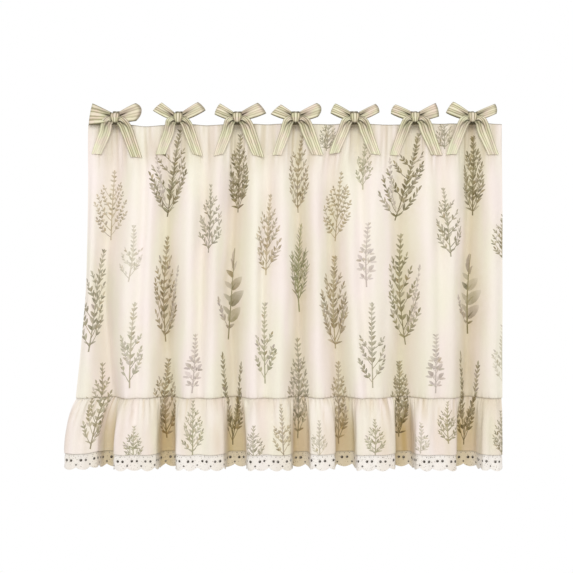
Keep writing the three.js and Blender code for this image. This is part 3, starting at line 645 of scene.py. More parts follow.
HERBS = [
    # name  place  top  foot  wide  habit    ink      strength lean  companion
    # place is sideways and top and foot are down from the top edge, as hung; mm
    ("A", -323, 80, 205, 60, "airy", "tan", 0.74, 2, None),
    ("F",  -285, 179, 279, 34, "spike",  "pale",  0.58,   0, None),
    ("B", -223, 8, 163, 70, "dense", "dark", 0.92, 24, "left"),
    ("C", -148, 107, 228, 42, "herb", "grey", 0.80, 0, None),
    ("D", -97, 17, 156, 37, "dense", "dark", 0.90, 0, None),
    ("E",   -47, 123, 267, 44, "herb",   "tan",   0.82,   0, None),
    ("G", -352, 219, 401, 48, "herb", "grey", 0.90, 22, None),
    ("H",  -227, 195, 385, 48, "herb",   "brown", 0.92,  -6, "right"),
    ("I", -118, 214, 381, 54, "broad", "olive", 0.84, 6, None),
    ("J",  -285, 313, 464, 36, "spike",  "sage",  0.72,   0, None),
    ("K", -176, 369, 473, 34, "round", "lilac", 0.66, 0, None),
    ("L",   -53, 313, 457, 36, "spike",  "sage",  0.86,   0, None),
    ("M",  -345, 420, 573, 40, "herb",   "olive", 0.80,   6, None),
    ("N", -229, 414, 557, 46, "dense", "brown", 0.86, 0, None),
    ("O", -112, 404, 569, 44, "two", "dark", 0.90, 0, None),
    ("T", 7, 19, 156, 42, "herb", "brown", 0.84, 0, None),
    ("T2",   58, -14,  47, 30, "herb",   "grey",  0.74,   0, None),
    ("U", 74, 84, 207, 48, "airy", "tan", 0.86, 4, None),
    ("V", 121, 21, 117, 28, "spike", "sage", 0.76, 0, None),
    ("W", 188, 15, 170, 74, "dense", "dark", 0.96, 34, "left"),
    ("X", 271, 112, 235, 42, "herb", "grey", 0.84, -14, None),
    ("Y",   316,  19, 161, 39, "dense",  "dark",  0.90,   0, None),
    ("Y2",  262, -14,  45, 30, "herb",   "grey",  0.70,   0, None),
    ("Z", 7, 175, 332, 40, "needle", "green", 0.90, 0, None),
    ("AA",   69, 230, 397, 54, "dense",  "brown", 0.88,   0, None),
    ("AB", 125, 174, 288, 46, "round", "lilac", 0.60, 0, None),
    ("AC",  193, 191, 390, 54, "herb",   "olive", 0.95, -10, "right"),
    ("AD", 304, 225, 371, 50, "broad", "olive", 0.82, 4, None),
    ("AE", 367, 161, 241, 36, "herb", "dark", 0.86, 0, None),
    ("AF", 5, 376, 557, 42, "herb", "grey", 0.80, 0, None),
    ("AG", 134, 313, 464, 44, "spike", "grey", 0.82, 0, None),
    ("AH",   77, 418, 567, 34, "herb",   "tan",   0.82,   0, None),
    ("AI",  185, 418, 555, 36, "dense",  "dark",  0.84,   0, None),
    ("AJ", 246, 369, 473, 38, "round", "lilac", 0.66, 0, None),
    ("AK",  307, 402, 569, 40, "two",    "dark",  0.92,   0, None),
    ("AX", 366, 352, 460, 34, "spike", "pale", 0.60, 0, None),
]
RUFFLE_HERBS = [
    ("P",  -178, 485, 580, 34, "herb",   "sage",  0.82,   0, None),
    ("Q",  -281, 530, 590, 32, "herb",   "sage",  0.84,   0, None),
    ("R",   -72, 529, 590, 32, "herb",   "grey",  0.80,   0, None),
    ("S",   -22, 490, 584, 34, "spike",  "tan",   0.76,   0, None),
    ("AL",  139, 518, 580, 34, "herb",   "sage",  0.80,   0, None),
    ("AM",  266, 487, 560, 34, "herb",   "olive", 0.80,   0, None),
    ("AN",  218, 525, 578, 28, "spike",  "pale",  0.72,   0, None),
    ("AO",  359, 503, 580, 32, "herb",   "grey",  0.80,   0, None),
    ("AP",   42, 520, 585, 26, "spike",  "pale",  0.72,   0, None),
]

def clip_half(poly, inside, cut):
    out = []
    for i in range(len(poly)):
        a, b = poly[i - 1], poly[i]
        ia, ib = inside(a), inside(b)
        if ib:
            if not ia:
                out.append(cut(a, b))
            out.append(b)
        elif ia:
            out.append(cut(a, b))
    return out

def clip_to(poly, lo, hi):
    """Keeps what lies inside a rectangle."""
    for axis in (0, 1):
        for limit, sign in ((lo[axis], 1), (hi[axis], -1)):
            if not len(poly):
                return []
            poly = clip_half(list(poly), lambda p: sign * (p[axis] - limit) >= 0,
                             lambda a, b: tuple(np.array(a) + (np.array(b) - np.array(a))
                                                * ((limit - a[axis]) / (b[axis] - a[axis]))))
    return poly

def area2(poly):
    p = np.asarray(poly)
    q = np.roll(p, -1, 0)
    return float((p[:, 0] * q[:, 1] - p[:, 1] * q[:, 0]).sum())

def triangulate(points, outlines, holes=()):
    """Triangles over the points' hull with the outlines kept as edges. Gives the points, the
    triangles and, for each triangle, which outline it lies in (the last named), or -1."""
    pts = [Vector((float(a), float(b))) for a, b in points]
    faces = []
    for poly in outlines:
        base = len(pts)
        pts.extend(Vector((float(a), float(b))) for a, b in poly)
        faces.append(list(range(base, base + len(poly))))
    v, _, f, _, _, of = delaunay_2d_cdt(pts, [], faces, 0, 2e-3, True)
    V = np.array([tuple(p) for p in v])
    T = np.array([t for t in f], int)
    owner = np.array([max(o) if len(o) else -1 for o in of])
    return V, T, owner, of

def base_points(wide, rows):
    """Rows of points, each (height, spacing), every other one set half a step along."""
    out = []
    for j, (y, step) in enumerate(rows):
        n = max(2, int(round(wide / step)))
        x = np.linspace(0, wide, n + 1)
        if j % 2 and 0 < j < len(rows) - 1:
            x = np.concatenate([[0], (x[:-1] + x[1:]) / 2, [wide]])
        out.append(np.stack([x, np.full(len(x), y)], 1))
    return np.concatenate(out)

# ---------------------------------------------------------------- meshes

def new_object(name, V, T, normals=None, smooth_flags=None):
    """A mesh object from points in millimetres and triangles."""
    me = bpy.data.meshes.new(name)
    me.from_pydata((np.asarray(V) * 0.001).tolist(), [], np.asarray(T).tolist())
    me.polygons.foreach_set("use_smooth", np.ones(len(T), bool) if smooth_flags is None else smooth_flags)
    if normals is not None:
        me.normals_split_custom_set_from_vertices(normals.tolist())
    o = bpy.data.objects.new(name, me)
    bpy.context.scene.collection.objects.link(o)
    return o

def set_uv(o, name, corners, active=False):
    layer = o.data.uv_layers.new(name=name)
    layer.data.foreach_set("uv", np.asarray(corners, np.float32).ravel())
    if active:
        o.data.uv_layers.active = layer
    return layer

def set_colour(o, name, corners):
    a = o.data.color_attributes.new(name=name, type="FLOAT_COLOR", domain="CORNER")
    a.data.foreach_set("color", np.asarray(corners, np.float32).ravel())

def set_value(o, name, values):
    a = o.data.attributes.new(name=name, type="FLOAT", domain="POINT")
    a.data.foreach_set("value", np.asarray(values, np.float32))

def boundary(T):
    """Directed edges that only one triangle uses."""
    e = np.concatenate([T[:, [0, 1]], T[:, [1, 2]], T[:, [2, 0]]])
    key = np.sort(e, 1)
    _, first, count = np.unique(key[:, 0].astype(np.int64) * (key.max() + 1) + key[:, 1],
                                return_index=True, return_counts=True)
    return e[first[count == 1]]

def upward(V, T):
    a, b, c = V[T[:, 0]], V[T[:, 1]], V[T[:, 2]]
    flip = ((b - a)[:, 0] * (c - a)[:, 1] - (b - a)[:, 1] * (c - a)[:, 0]) < 0
    T = T.copy()
    T[flip] = T[flip][:, ::-1]
    return T

def tidy(V, T, owner):
    """Drops slivers that span a straight edge, and points that no triangle uses."""
    a, b, c = V[T[:, 0]], V[T[:, 1]], V[T[:, 2]]
    big = np.abs((b - a)[:, 0] * (c - a)[:, 1] - (b - a)[:, 1] * (c - a)[:, 0]) > 1e-9
    T, owner = T[big], owner[big]
    used = np.unique(T)
    back = np.full(len(V), -1)
    back[used] = np.arange(len(used))
    return V[used], back[T], owner

def ink_corners(V, T, owner, facts):
    """Colour and cover at each triangle's corners, from the outline that it lies in."""
    out = np.zeros((len(T), 3, 4))
    if not len(facts):
        return out
    F = np.array(facts, float)
    on = owner >= 0
    f = F[owner[on]]
    p = V[T[on]]
    dx, dy = p[..., 0] - f[:, None, 0], p[..., 1] - f[:, None, 1]
    up = (dx * f[:, None, 2] + dy * f[:, None, 3]) / f[:, None, 4]
    side = (dx * f[:, None, 3] - dy * f[:, None, 2]) / (0.2 * f[:, None, 4])
    cover = f[:, None, 8] * (1 - f[:, None, 9] * np.clip(up, 0, 1) ** 1.3) * (1 + 0.16 * np.clip(side, -1, 1))
    out[on, :, 0:3] = f[:, None, 5:8]
    out[on, :, 3] = np.clip(cover, 0, 1)
    return out

def cloth_object(name, V, T, P, N, front, back, ink, stitches_and_painted_shade, shade, wide, tall, top, bands, through=0.36, stain=None,
                 rear=None,
                 ghost=None):
    """A closed sheet: the triangles on the front, others on the back, and a rim between. The back
    has the front's own triangles unless rear gives (V, T, P, N, back, tint, shade, stain). ghost is
    how much of the print shows through at each of the back's points."""
    if stain is None:
        stain = np.zeros(len(V))
    V2, T2, P2, N2, back2, stitches_and_painted_shade_back, shade2, stain2 = rear or (V, T, P, N, back, stitches_and_painted_shade, shade, stain)
    n, m = len(V), len(T)
    verts = np.concatenate([P + N * np.asarray(front)[:, None], P2 - N2 * np.asarray(back2)[:, None]])
    normals = np.concatenate([N, -N2])
    B = boundary(T)
    # each edge point of the front has its twin on the back
    place = {(round(float(x), 3), round(float(y), 3)): i for i, (x, y) in enumerate(V2)}
    twin = np.full(n, -1)
    for i in np.unique(B):
        twin[i] = place[(round(float(V[i, 0]), 3), round(float(V[i, 1]), 3))] + n
    walls = np.concatenate([np.stack([B[:, 0], twin[B[:, 0]], twin[B[:, 1]]], 1),
                            np.stack([B[:, 0], twin[B[:, 1]], B[:, 1]], 1)])
    faces = np.concatenate([T, T2[:, ::-1] + n, walls])
    o = new_object(name, verts, faces, normals)
    flat = np.concatenate([V, V2])
    corner = flat[faces]
    set_uv(o, "cloth", corner.reshape(-1, 2) * 0.001)
    # the layout for baked textures: bands of the front, bands of the back, then the rim
    def lay(c, lo, hi):
        mid = c[..., 0].mean(1)
        band = np.clip((mid / wide * bands).astype(int), 0, bands - 1)[:, None]
        across = c[..., 0] / wide * bands - band
        down = (top - c[..., 1]) / tall
        h = (hi - lo) / bands
        return np.stack([0.008 + 0.984 * across, hi - h * band - h * (0.012 + 0.976 * down)], -1)
    both = m + len(T2)
    bake = np.concatenate([lay(corner[:m], 0.335, 0.998), lay(corner[m:both], 0.03, 0.33)])
    rim = corner[both:]
    is_back = faces[both:] >= n
    edge = np.where((np.abs(rim[..., 0] - 0) < 1e-6).all(1), 0, np.where(
        (np.abs(rim[..., 0] - wide) < 1e-6).all(1), 1, np.where((np.abs(rim[..., 1] - top) < 1e-6).all(1), 2, 3)))
    runs = np.where((edge < 2)[:, None], (top - rim[..., 1]) / tall, rim[..., 0] / wide)
    rim_uv = np.stack([0.008 + 0.984 * runs, 0.002 + 0.006 * edge[:, None] + 0.004 * is_back], -1)
    set_uv(o, "OFBake", np.clip(np.concatenate([bake, rim_uv]), 0.0005, 0.9995).reshape(-1, 2), active=True)
    colour = np.zeros((len(faces), 3, 4))
    colour[:m] = ink
    if ghost is not None:
        colour[m:both, :, 0:3] = srgb(126, 118, 88)
        colour[m:both, :, 3] = ghost[T2[:, ::-1]]
    else:
        colour[m:both] = ink[:, ::-1]
        colour[m:both, :, 3] *= through
    set_colour(o, "print", colour.reshape(-1, 4))
    # painted shade lines and stitches, and painted fold shade, fainter on the back
    set_value(o, "stitches_and_painted_shade", np.concatenate([stitches_and_painted_shade, stitches_and_painted_shade_back]))
    set_value(o, "fold", np.concatenate([shade, 0.35 * shade2]))
    set_value(o, "stain", np.concatenate([stain, 0.6 * stain2]))
    return o

def collect(herbs, wide, lo_d, hi_d, place, stretch):
    """The herbs' outlines that fall on one piece of cloth, in its flat coordinates."""
    pr = Print()
    for i, (name, x, top, foot, w, kind, inks, strength, lean, companion) in enumerate(herbs):
        if foot < lo_d or top > hi_d:
            continue
        mid = min(max((top + foot) / 2, lo_d + 2), hi_d - 2)
        seed = sum(ord(c) * 31 ** j for j, c in enumerate(name)) % 9973
        s = grow(kind, seed, foot - top, w, inks, strength, lean, companion)
        s.set_on(pr, place(x, mid), -foot, w * stretch)
    outlines, facts = [], []
    order = sorted(range(len(pr.outlines)), key=lambda i: pr.facts[i][-1])
    for i in order:
        poly = pr.outlines[i]
        if (poly[:, 1].max() < -hi_d or poly[:, 1].min() > -lo_d or poly[:, 0].max() < 0
                or poly[:, 0].min() > wide):
            continue
        poly = clip_to([tuple(p) for p in poly], (0.15, -hi_d + 0.15), (wide - 0.15, -lo_d - 0.15))
        if len(poly) < 3 or abs(area2(poly)) < 0.3:
            continue
        if area2(poly) < 0:
            poly = poly[::-1]
        outlines.append(poly)
        facts.append(pr.facts[i])
    return outlines, facts, pr.stains

def stained(V, stains, seed):
    """How much of each point the herbs' soft background colour reaches."""
    out = np.zeros(len(V))
    for x, y, w, h, amount in stains:
        near = np.where(np.abs(V[:, 0] - x) < 1.6 * w)[0]
        q = ((V[near, 0] - x) / w) ** 2 + ((V[near, 1] - y) / h) ** 2
        out[near] = np.maximum(out[near], amount * np.exp(-1.5 * q ** 1.3))
    return np.clip(out * (1 + 0.35 * noise2(V[:, 0], -V[:, 1], 22, 30, seed)), 0, 1)

def make_panel():
    outlines, facts, stains = collect(HERBS, PANEL_WIDE, 0.0, SEAM_D, lambda x, d: cloth_u(x, d), 1.16)
    rows = [(-y, 2.6) for y in (0, 0.5, 1.2, 2.2)] + [(-y, 2.7) for y in np.arange(5, 53, 4.0)]
    rows += [(-52.6, 2.7), (-54.2, 2.7), (-55.7, 2.7), (-56.3, 2.7)]
    rows += [(-y, 3.0) for y in np.arange(60, 92, 6.0)]
    rows += [(-y, 3.9) for y in np.arange(94, 468, 7.2)]
    rows += [(-y, 2.6) for y in (470, 474, 476.4, 478, 479.4, 480.6, 481.4, 482)]
    pts = base_points(PANEL_WIDE, rows)
    side = np.concatenate([np.stack([np.full(110, x), -np.linspace(1, 481, 110)], 1)
                           for x in (SIDE_HEM - 0.3, SIDE_HEM + 0.3, PANEL_WIDE - SIDE_HEM - 0.3, PANEL_WIDE - SIDE_HEM + 0.3)])
    pts = np.concatenate([pts, side])
    V, T, owner, _ = triangulate(pts, outlines)
    V, T, owner = tidy(V, upward(V, T), owner)
    V2, T2, owner2, _ = triangulate(pts, [])
    V2, T2, _ = tidy(V2, upward(V2, T2), owner2)
    a, b = panel_tones(V, stains), panel_tones(V2, stains)
    ink = ink_corners(V, T, owner, facts)
    o = cloth_object("panel_cloth", V, T, a[0], a[1], np.full(len(V), CLOTH), a[2], ink,
                     a[3], a[4], PANEL_WIDE, SEAM_D, 0.0, 1, stain=a[5], rear=(V2, T2, *b),
                     ghost=0.42 * np.clip(show_through(V2, V, T, ink), 0, 1) * (0.25 + 0.75 * smooth((-V2[:, 1] - HEAD_HEM + 1) / 2)))
    return o, len(T)

def show_through(at, V, T, ink, cell=5.0):
    """How much print lies near each point, from the inked triangles' area."""
    a, b, c = V[T[:, 0]], V[T[:, 1]], V[T[:, 2]]
    area = 0.5 * np.abs((b - a)[:, 0] * (c - a)[:, 1] - (b - a)[:, 1] * (c - a)[:, 0])
    mid = (a + b + c) / 3
    lo = V.min(0) - 2 * cell
    shape = tuple(((V.max(0) - lo) / cell).astype(int) + 4)
    grid = np.zeros(shape)
    k = ((mid - lo) / cell).astype(int)
    np.add.at(grid, (k[:, 0], k[:, 1]), area * ink[:, :, 3].mean(1) / cell ** 2)
    f = (at - lo) / cell - 0.5
    i = np.clip(f.astype(int), 0, np.array(shape) - 2)
    w = np.clip(f - i, 0, 1)
    return (grid[i[:, 0], i[:, 1]] * (1 - w[:, 0]) * (1 - w[:, 1]) + grid[i[:, 0] + 1, i[:, 1]] * w[:, 0] * (1 - w[:, 1])
            + grid[i[:, 0], i[:, 1] + 1] * (1 - w[:, 0]) * w[:, 1] + grid[i[:, 0] + 1, i[:, 1] + 1] * w[:, 0] * w[:, 1])

def panel_tones(V, stains):
    """Place, normal, depth behind, painted shade lines at the edges, painted fold shade and stain of the panel's
    points.
    """
    u, d = V[:, 0], -V[:, 1]
    P, N = PANEL.at(u, d)
    doubled = 1 - smooth((d - (HEAD_HEM - 0.25)) / 0.5)
    sides = np.maximum(1 - smooth((u - (SIDE_HEM - 0.25)) / 0.5), 1 - smooth((PANEL_WIDE - u - (SIDE_HEM - 0.25)) / 0.5))
    rolled = smooth((d - 479) / 1.5)
    back = CLOTH + 0.66 * np.maximum(doubled, sides * (1 - doubled)) * (1 - rolled)
    # painted shade: a dark line along the top fold, a faint painted shadow line at the seam, and painted shadows where
    # each tail's outer edge meets the top edge
    edge = np.exp(-(d / 1.1) ** 2) * 1.0 + np.exp(-((SEAM_D - d) / 1.0) ** 2) * 0.12
    draw = 2.5 + 5.5 * smooth((d - 325) / 75)
    for row in TIES:
        tail_shadow = np.exp(-((P[:, 0] - row[1] - SHIFT[0] - 26.5) / 3.0) ** 2) * np.exp(-(np.maximum(d - 0.4, 0) / 2.6) ** 2)
        edge = edge + (1.0 if row[0] == "tie_1" else 0.6) * tail_shadow
    def hollow(off):
        return PANEL.look(PANEL_RECESS, np.clip(u - off + draw, 0, PANEL_WIDE), d)
    # painted fold shade: darker deep in each fold and drawn out to the side that turns from the light, less of it low
    # down
    shade = 0.46 * np.maximum(hollow(8), np.maximum(0.80 * hollow(17), 0.52 * hollow(28)))
    low = smooth((d - 340) / 90)
    shade = shade * (1 - 0.22 * low - 0.16 * smooth((d - 430) / 40))
    shade = np.maximum(shade, 0.46 * low * np.maximum(0.62 * hollow(-6), 0.40 * hollow(-17)))
    shade = shade * (0.55 + 0.45 * smooth(d / 70)) * (0.45 + 0.55 * smooth((u - 55) / 60)) * (1 + 0.25 * noise2(u, d, 40, 110, 406))
    # painted shade over the doubled heading
    head = 1 - smooth((d - 24 + 6 * noise1(u, 30, 401)) / 86.0)
    shade = np.maximum(shade, 0.0) + head * (0.25 + 0.08 * noise1(u, 26, 402) + 0.24 * noise2(u, d, 5.5, 60, 403))
    # painted shadow on the heading under each knot
    for row in TIES:
        knot_shadow = 0.20 if row[0] == "tie_1" else 0.07
        shade = shade + knot_shadow * np.exp(-((P[:, 0] - row[1] - SHIFT[0]) / 10.0) ** 2) * np.exp(-((d - 14) / 24) ** 2)
    # more painted shade towards the right side, near the seam and lower down, with random patches
    shade = shade + 0.08 * smooth((u - 690) / 60) + 0.06 * smooth((d - 470) / 12) + 0.01 + 0.05 * noise2(u, d, 34, 150, 404) + 0.04 * smooth((d - 150) / 250)
    inner = np.minimum(u, PANEL_WIDE - u)
    shade = shade * (0.35 + 0.65 * smooth((inner - 4) / 22))
    return P, N, back, np.clip(edge, 0, 1), np.clip(shade, 0, 1), stained(V, stains, 405)

def make_ruffle():
    shifted = [(n, x, top - SEAM_D, foot - SEAM_D, w, k, i, s, l, c)
               for n, x, top, foot, w, k, i, s, l, c in HERBS + RUFFLE_HERBS]
    outlines, facts, stains = collect(shifted, HEM_WIDE, 0.0, RUFFLE_DROP, lambda x, d: ruffle_u(x, d), 1.06)
    rows = [(9, 3.2), (6, 3.0), (3, 2.6), (1, 2.4), (0, 2.2), (-1, 2.2)] + [(-y, 2.3) for y in (2.2, 3.8, 6, 8.5, 11.5, 15, 19)]
    rows += [(-y, 3.0) for y in (23.5, 28.5, 34)] + [(-y, 3.5) for y in np.arange(40, 92, 6.4)]
    rows += [(-y, 3.2) for y in (92.6, 94.2, 95.8, 97, 98)]
    pts = base_points(HEM_WIDE, rows)
    V, T, owner, _ = triangulate(pts, outlines)
    V, T, owner = tidy(V, upward(V, T), owner)
    u, d = V[:, 0], -V[:, 1]
    P, N = RUFFLE.at(u, d)
    # the sewn edge lies a little behind the panel's foot
    P = P - N * (0.22 * (1 - smooth((d - 4) / 14)))[:, None]
    hem = smooth((d - 88.6) / 0.5)
    sides = np.maximum(1 - smooth((u - 8) / 0.6), 1 - smooth((HEM_WIDE - u - 8) / 0.6))
    back = CLOTH + 0.5 * np.maximum(hem, sides) * (1 - smooth((d - 96.5) / 1.2))
    # painted shade under the panel's edge at the seam, and a dark line along the hem that is partly stitching and
    # partly painted shadow
    stitches_and_painted_shade = 0.12 * np.exp(-(np.abs(d) / 2.0) ** 1.5) + 0.17 * np.exp(-((RUFFLE_DROP - d) / 0.9) ** 2)
    def hollow(off):
        return RUFFLE.look(RUFFLE_RECESS, np.clip(u - off + 5 * smooth((d - 25) / 50), 0, HEM_WIDE), d)
    # painted shade in each fold, drawn out to a soft edge over the side that turns from the light
    shade = np.max([k * hollow(off) for k, off in ((0.90, 3), (0.76, 11), (0.46, 22), (0.58, -12), (0.52, -24), (0.44, -36), (0.32, -47), (0.17, -58))], axis=0)
    shade = shade * (0.50 + 0.50 * smooth(d / 60)) * (0.35 + 0.65 * smooth((u - 70) / 60))
    # painted shade of fine creases that run down from the gathers
    fine = np.clip(noise2(u + 0.06 * d, d, 4.2, 34, 414), 0, 1) * np.exp(-(d / 46) ** 2)
    broad = np.clip(noise2(u - 0.05 * d, d, 11.0, 80, 415), 0, 1)
    shade = shade * 1.0 + 0.40 * fine + 0.20 * broad
    # a floor of random darker patches, darker near the seam and towards the right-hand end
    plain = 0.04 + 0.15 * noise1(u, 34, 411) + 0.08 * noise2(u, d, 16, 60, 412) + 0.15 * np.exp(-(d / 22) ** 2)
    shade = np.maximum(shade, plain * (0.2 + 0.8 * smooth((u - 40) / 50)) + 0.17 * smooth((u - (HEM_WIDE - 68)) / 22))
    ink = ink_corners(V, T, owner, facts)
    o = cloth_object("ruffle_cloth", V, T, P, N, np.full(len(V), CLOTH), back,
                     ink, np.clip(stitches_and_painted_shade, 0, 1), np.clip(shade, 0, 1),
                     HEM_WIDE, RUFFLE_DROP + ALLOWANCE, ALLOWANCE, 3, stain=stained(V, stains, 413),
                     ghost=0.42 * np.clip(show_through(V, V, T, ink), 0, 1))
    set_value(o, "warmer_painted_shade", np.ones(len(o.data.vertices)))
    return o, len(T)

PITCH = HEM_WIDE / SCALLOPS

def make_lace():
    rng = np.random.RandomState(77)
    outline = [(HEM_WIDE, LACE_LAP), (0.0, LACE_LAP)]
    steps = 14
    for i in range(SCALLOPS):
        for k in range(steps):
            f = k / steps
            outline.append((PITCH * (i + f), -(LACE_DROP - 5.0 + 5.0 * abs(math.sin(math.pi * f)) ** 0.8)))
    outline.append((HEM_WIDE, -(LACE_DROP - 5.0)))
    def edge_depth(x):
        return LACE_DROP - 5.0 + 5.0 * np.abs(np.sin(np.pi * (np.asarray(x) / PITCH % 1.0))) ** 0.8
    eyes = []       # centre, radius, how dark, ring width
    for i in range(SCALLOPS):
        c = PITCH * (i + 0.5)
        for side in (-1, 1):
            eyes.append((c + side * 4.4 + rng.uniform(-0.3, 0.3), -(11.2 + rng.uniform(-0.4, 0.4)), 2.35 * rng.uniform(0.88, 1.1), rng.uniform(0.8, 1.0), 1.9))
        for side in (-1, 0, 1):
            eyes.append((c + side * PITCH / 3, -(3.6 + rng.uniform(-0.2, 0.2)), 0.85 * rng.uniform(0.8, 1.15), rng.uniform(0.4, 0.75), 0.7))
        if i:
            eyes.append((PITCH * i, -(18.9 + rng.uniform(-0.3, 0.3)), 1.65 * rng.uniform(0.85, 1.1), rng.uniform(0.7, 0.95), 1.2))
    E = np.array(eyes)
    outlines, ring_pts = [outline], []
    for x, y, r, dark, w in eyes:
        n = 14 if r > 2 else (11 if r > 1.2 else 7)
        a = 2 * np.pi * (np.arange(n) + rng.uniform(0, 1)) / n
        outlines.append([(x + r * math.cos(q), y + r * math.sin(q)) for q in a])
        ring_pts.append(np.stack([x + 0.55 * r * np.cos(a[::2]), y + 0.55 * r * np.sin(a[::2])], 1))
        for grown in (0.35, 0.55 * w, w) if r > 1.2 else (0.35, w):
            ring_pts.append(np.stack([x + (r + grown) * np.cos(a + 0.2), y + (r + grown) * np.sin(a + 0.2)], 1))
    rows = [(LACE_LAP, 4.5), (4.5, 4.0), (2.0, 3.0)] + [(-y, 2.15) for y in np.arange(0, 21.5, 1.9)]
    pts = base_points(HEM_WIDE, rows)
    low = []
    for off in (0.7, 1.5, 2.4, 3.6):
        x = np.linspace(0.4, HEM_WIDE - 0.4, int(HEM_WIDE / 2.0))
        low.append(np.stack([x, -(edge_depth(x) - off)], 1))
    pts = np.concatenate([pts] + low)
    far = np.ones(len(pts), bool)
    for x, y, r, dark, w in eyes:
        far &= (np.hypot(pts[:, 0] - x, pts[:, 1] - y) > r + w + 0.35)
    far |= np.abs(pts[:, 1] - LACE_LAP) < 1e-9
    pts = pts[far]
    pts = pts[(pts[:, 1] > -(edge_depth(pts[:, 0]) - 0.3)) & (pts[:, 0] >= 0) & (pts[:, 0] <= HEM_WIDE)]
    rings = np.concatenate(ring_pts)
    rings = rings[(rings[:, 1] > -(edge_depth(rings[:, 0]) - 0.35)) & (rings[:, 0] > 0.2) & (rings[:, 0] < HEM_WIDE - 0.2)]
    V, T, owner, _ = triangulate(np.concatenate([pts, rings]), outlines)
    keep = owner >= 0
    V, T, owner = tidy(V, upward(V, T)[keep], owner[keep])
    u, d = V[:, 0], -V[:, 1]
    P, N = RUFFLE.at(u, RUFFLE_DROP + d)
    # raised embroidery: rings round the eyelets, the bordered edge and a cord under the hem. The eyelets are not cut
    # through: each is a disc sunk a little and painted near-black, a painted shadow in place of a hole
    lift = np.zeros(len(V))
    sink = np.zeros(len(V))
    for x, y, r, dark, w in eyes:
        near = np.where(np.abs(u - x) < r + w + 1)[0]
        q = np.hypot(u[near] - x, V[near, 1] - y) - r
        h = 0.62 if r > 2 else (0.5 if r > 1.2 else 0.25)
        lift[near] = np.maximum(lift[near], h * np.clip(np.sin(np.pi * np.clip((q + 0.12) / (w + 0.12), 0, 1)), 0, 1) ** 0.8)
        sink[near] = np.maximum(sink[near], np.clip(-q / 0.45, 0, 1) * 0.55)
    inset = edge_depth(u) - d
    lift = np.maximum(lift, 0.42 * np.clip(np.sin(np.pi * np.clip(inset / 2.3, 0, 1)), 0, 1) ** 0.7)
    lift = np.maximum(lift, 0.30 * np.exp(-((d - 6.9) / 0.55) ** 2))
    hidden = smooth((d + 1.0) / 2.0)
    sway = 0.5 * noise2(u, d, 10, 14, 91) + 0.7 * smooth(d / 24) * noise1(u, 18, 92)
    base = -(0.65 + 0.35 + 0.6 + 0.1) + 0.9 * smooth(d / 8) + sway * smooth(d / 6)
    P = P + N * base[:, None]
    front = 0.24 + lift * hidden - sink
    back = 0.24 + 0.35 * lift * hidden - 0.15 * (sink > 0)
    facts = [(0, 0, 0, 1, 10, 1, 1, 1, 0, 0, 1)]
    # each eyelet's painted shadow, near-black, as dark as its entry in eyes
    for x, y, r, dark, w in eyes:
        facts.append((x, y, 0.7, 0.7, 6, *srgb(54, 44, 30), dark, 0.0, 1))
    ink = ink_corners(V, T, owner, facts)
    # the stitches that hold it show as a row of ticks under the ruffle's edge, over a painted shadow line from that
    # edge
    stitches_and_painted_shade = (0.30 + 0.45 * (np.sin(2 * np.pi * u / 4.3) > 0.1)) * np.exp(-((d - 0.5) / 1.3) ** 2)
    # painted fold shade, following the ruffle's folds above
    shade = 0.76 * RUFFLE.look(RUFFLE_RECESS, np.clip(u + 6, 0, HEM_WIDE), RUFFLE_DROP + d)
    for k, off in ((0.46, 20), (0.36, 34), (0.20, 48)):
        shade = np.maximum(shade, k * RUFFLE.look(RUFFLE_RECESS, np.clip(u + off, 0, HEM_WIDE), RUFFLE_DROP + d))
    shade = shade + 0.03 + 0.08 * noise1(u, 22, 93)
    o = cloth_object("eyelet_trim", V, T, P, N, front, back, ink, np.clip(stitches_and_painted_shade, 0, 1), np.clip(shade, 0, 1),
                     HEM_WIDE, LACE_DROP + LACE_LAP, LACE_LAP, 4, through=1.0)
    set_value(o, "warmer_painted_shade", np.full(len(o.data.vertices), 0.8))
    return o, len(T)

# ---------------------------------------------------------------- the ribbon bows

RIBBON = 0.28                  # half thickness of the ribbon
RIBBON_WIDE = 23.0             # its flat width

def panel_span(x, z, half):
    """The cloth's most forward and most backward y near x, at a height z below the top edge."""
    j = int(np.clip(round(-z), 0, len(PANEL.d) - 1))
    row = PANEL.P[j]
    near = np.abs(row[:, 0] - x) < half
    return row[near, 1].min(), row[near, 1].max()

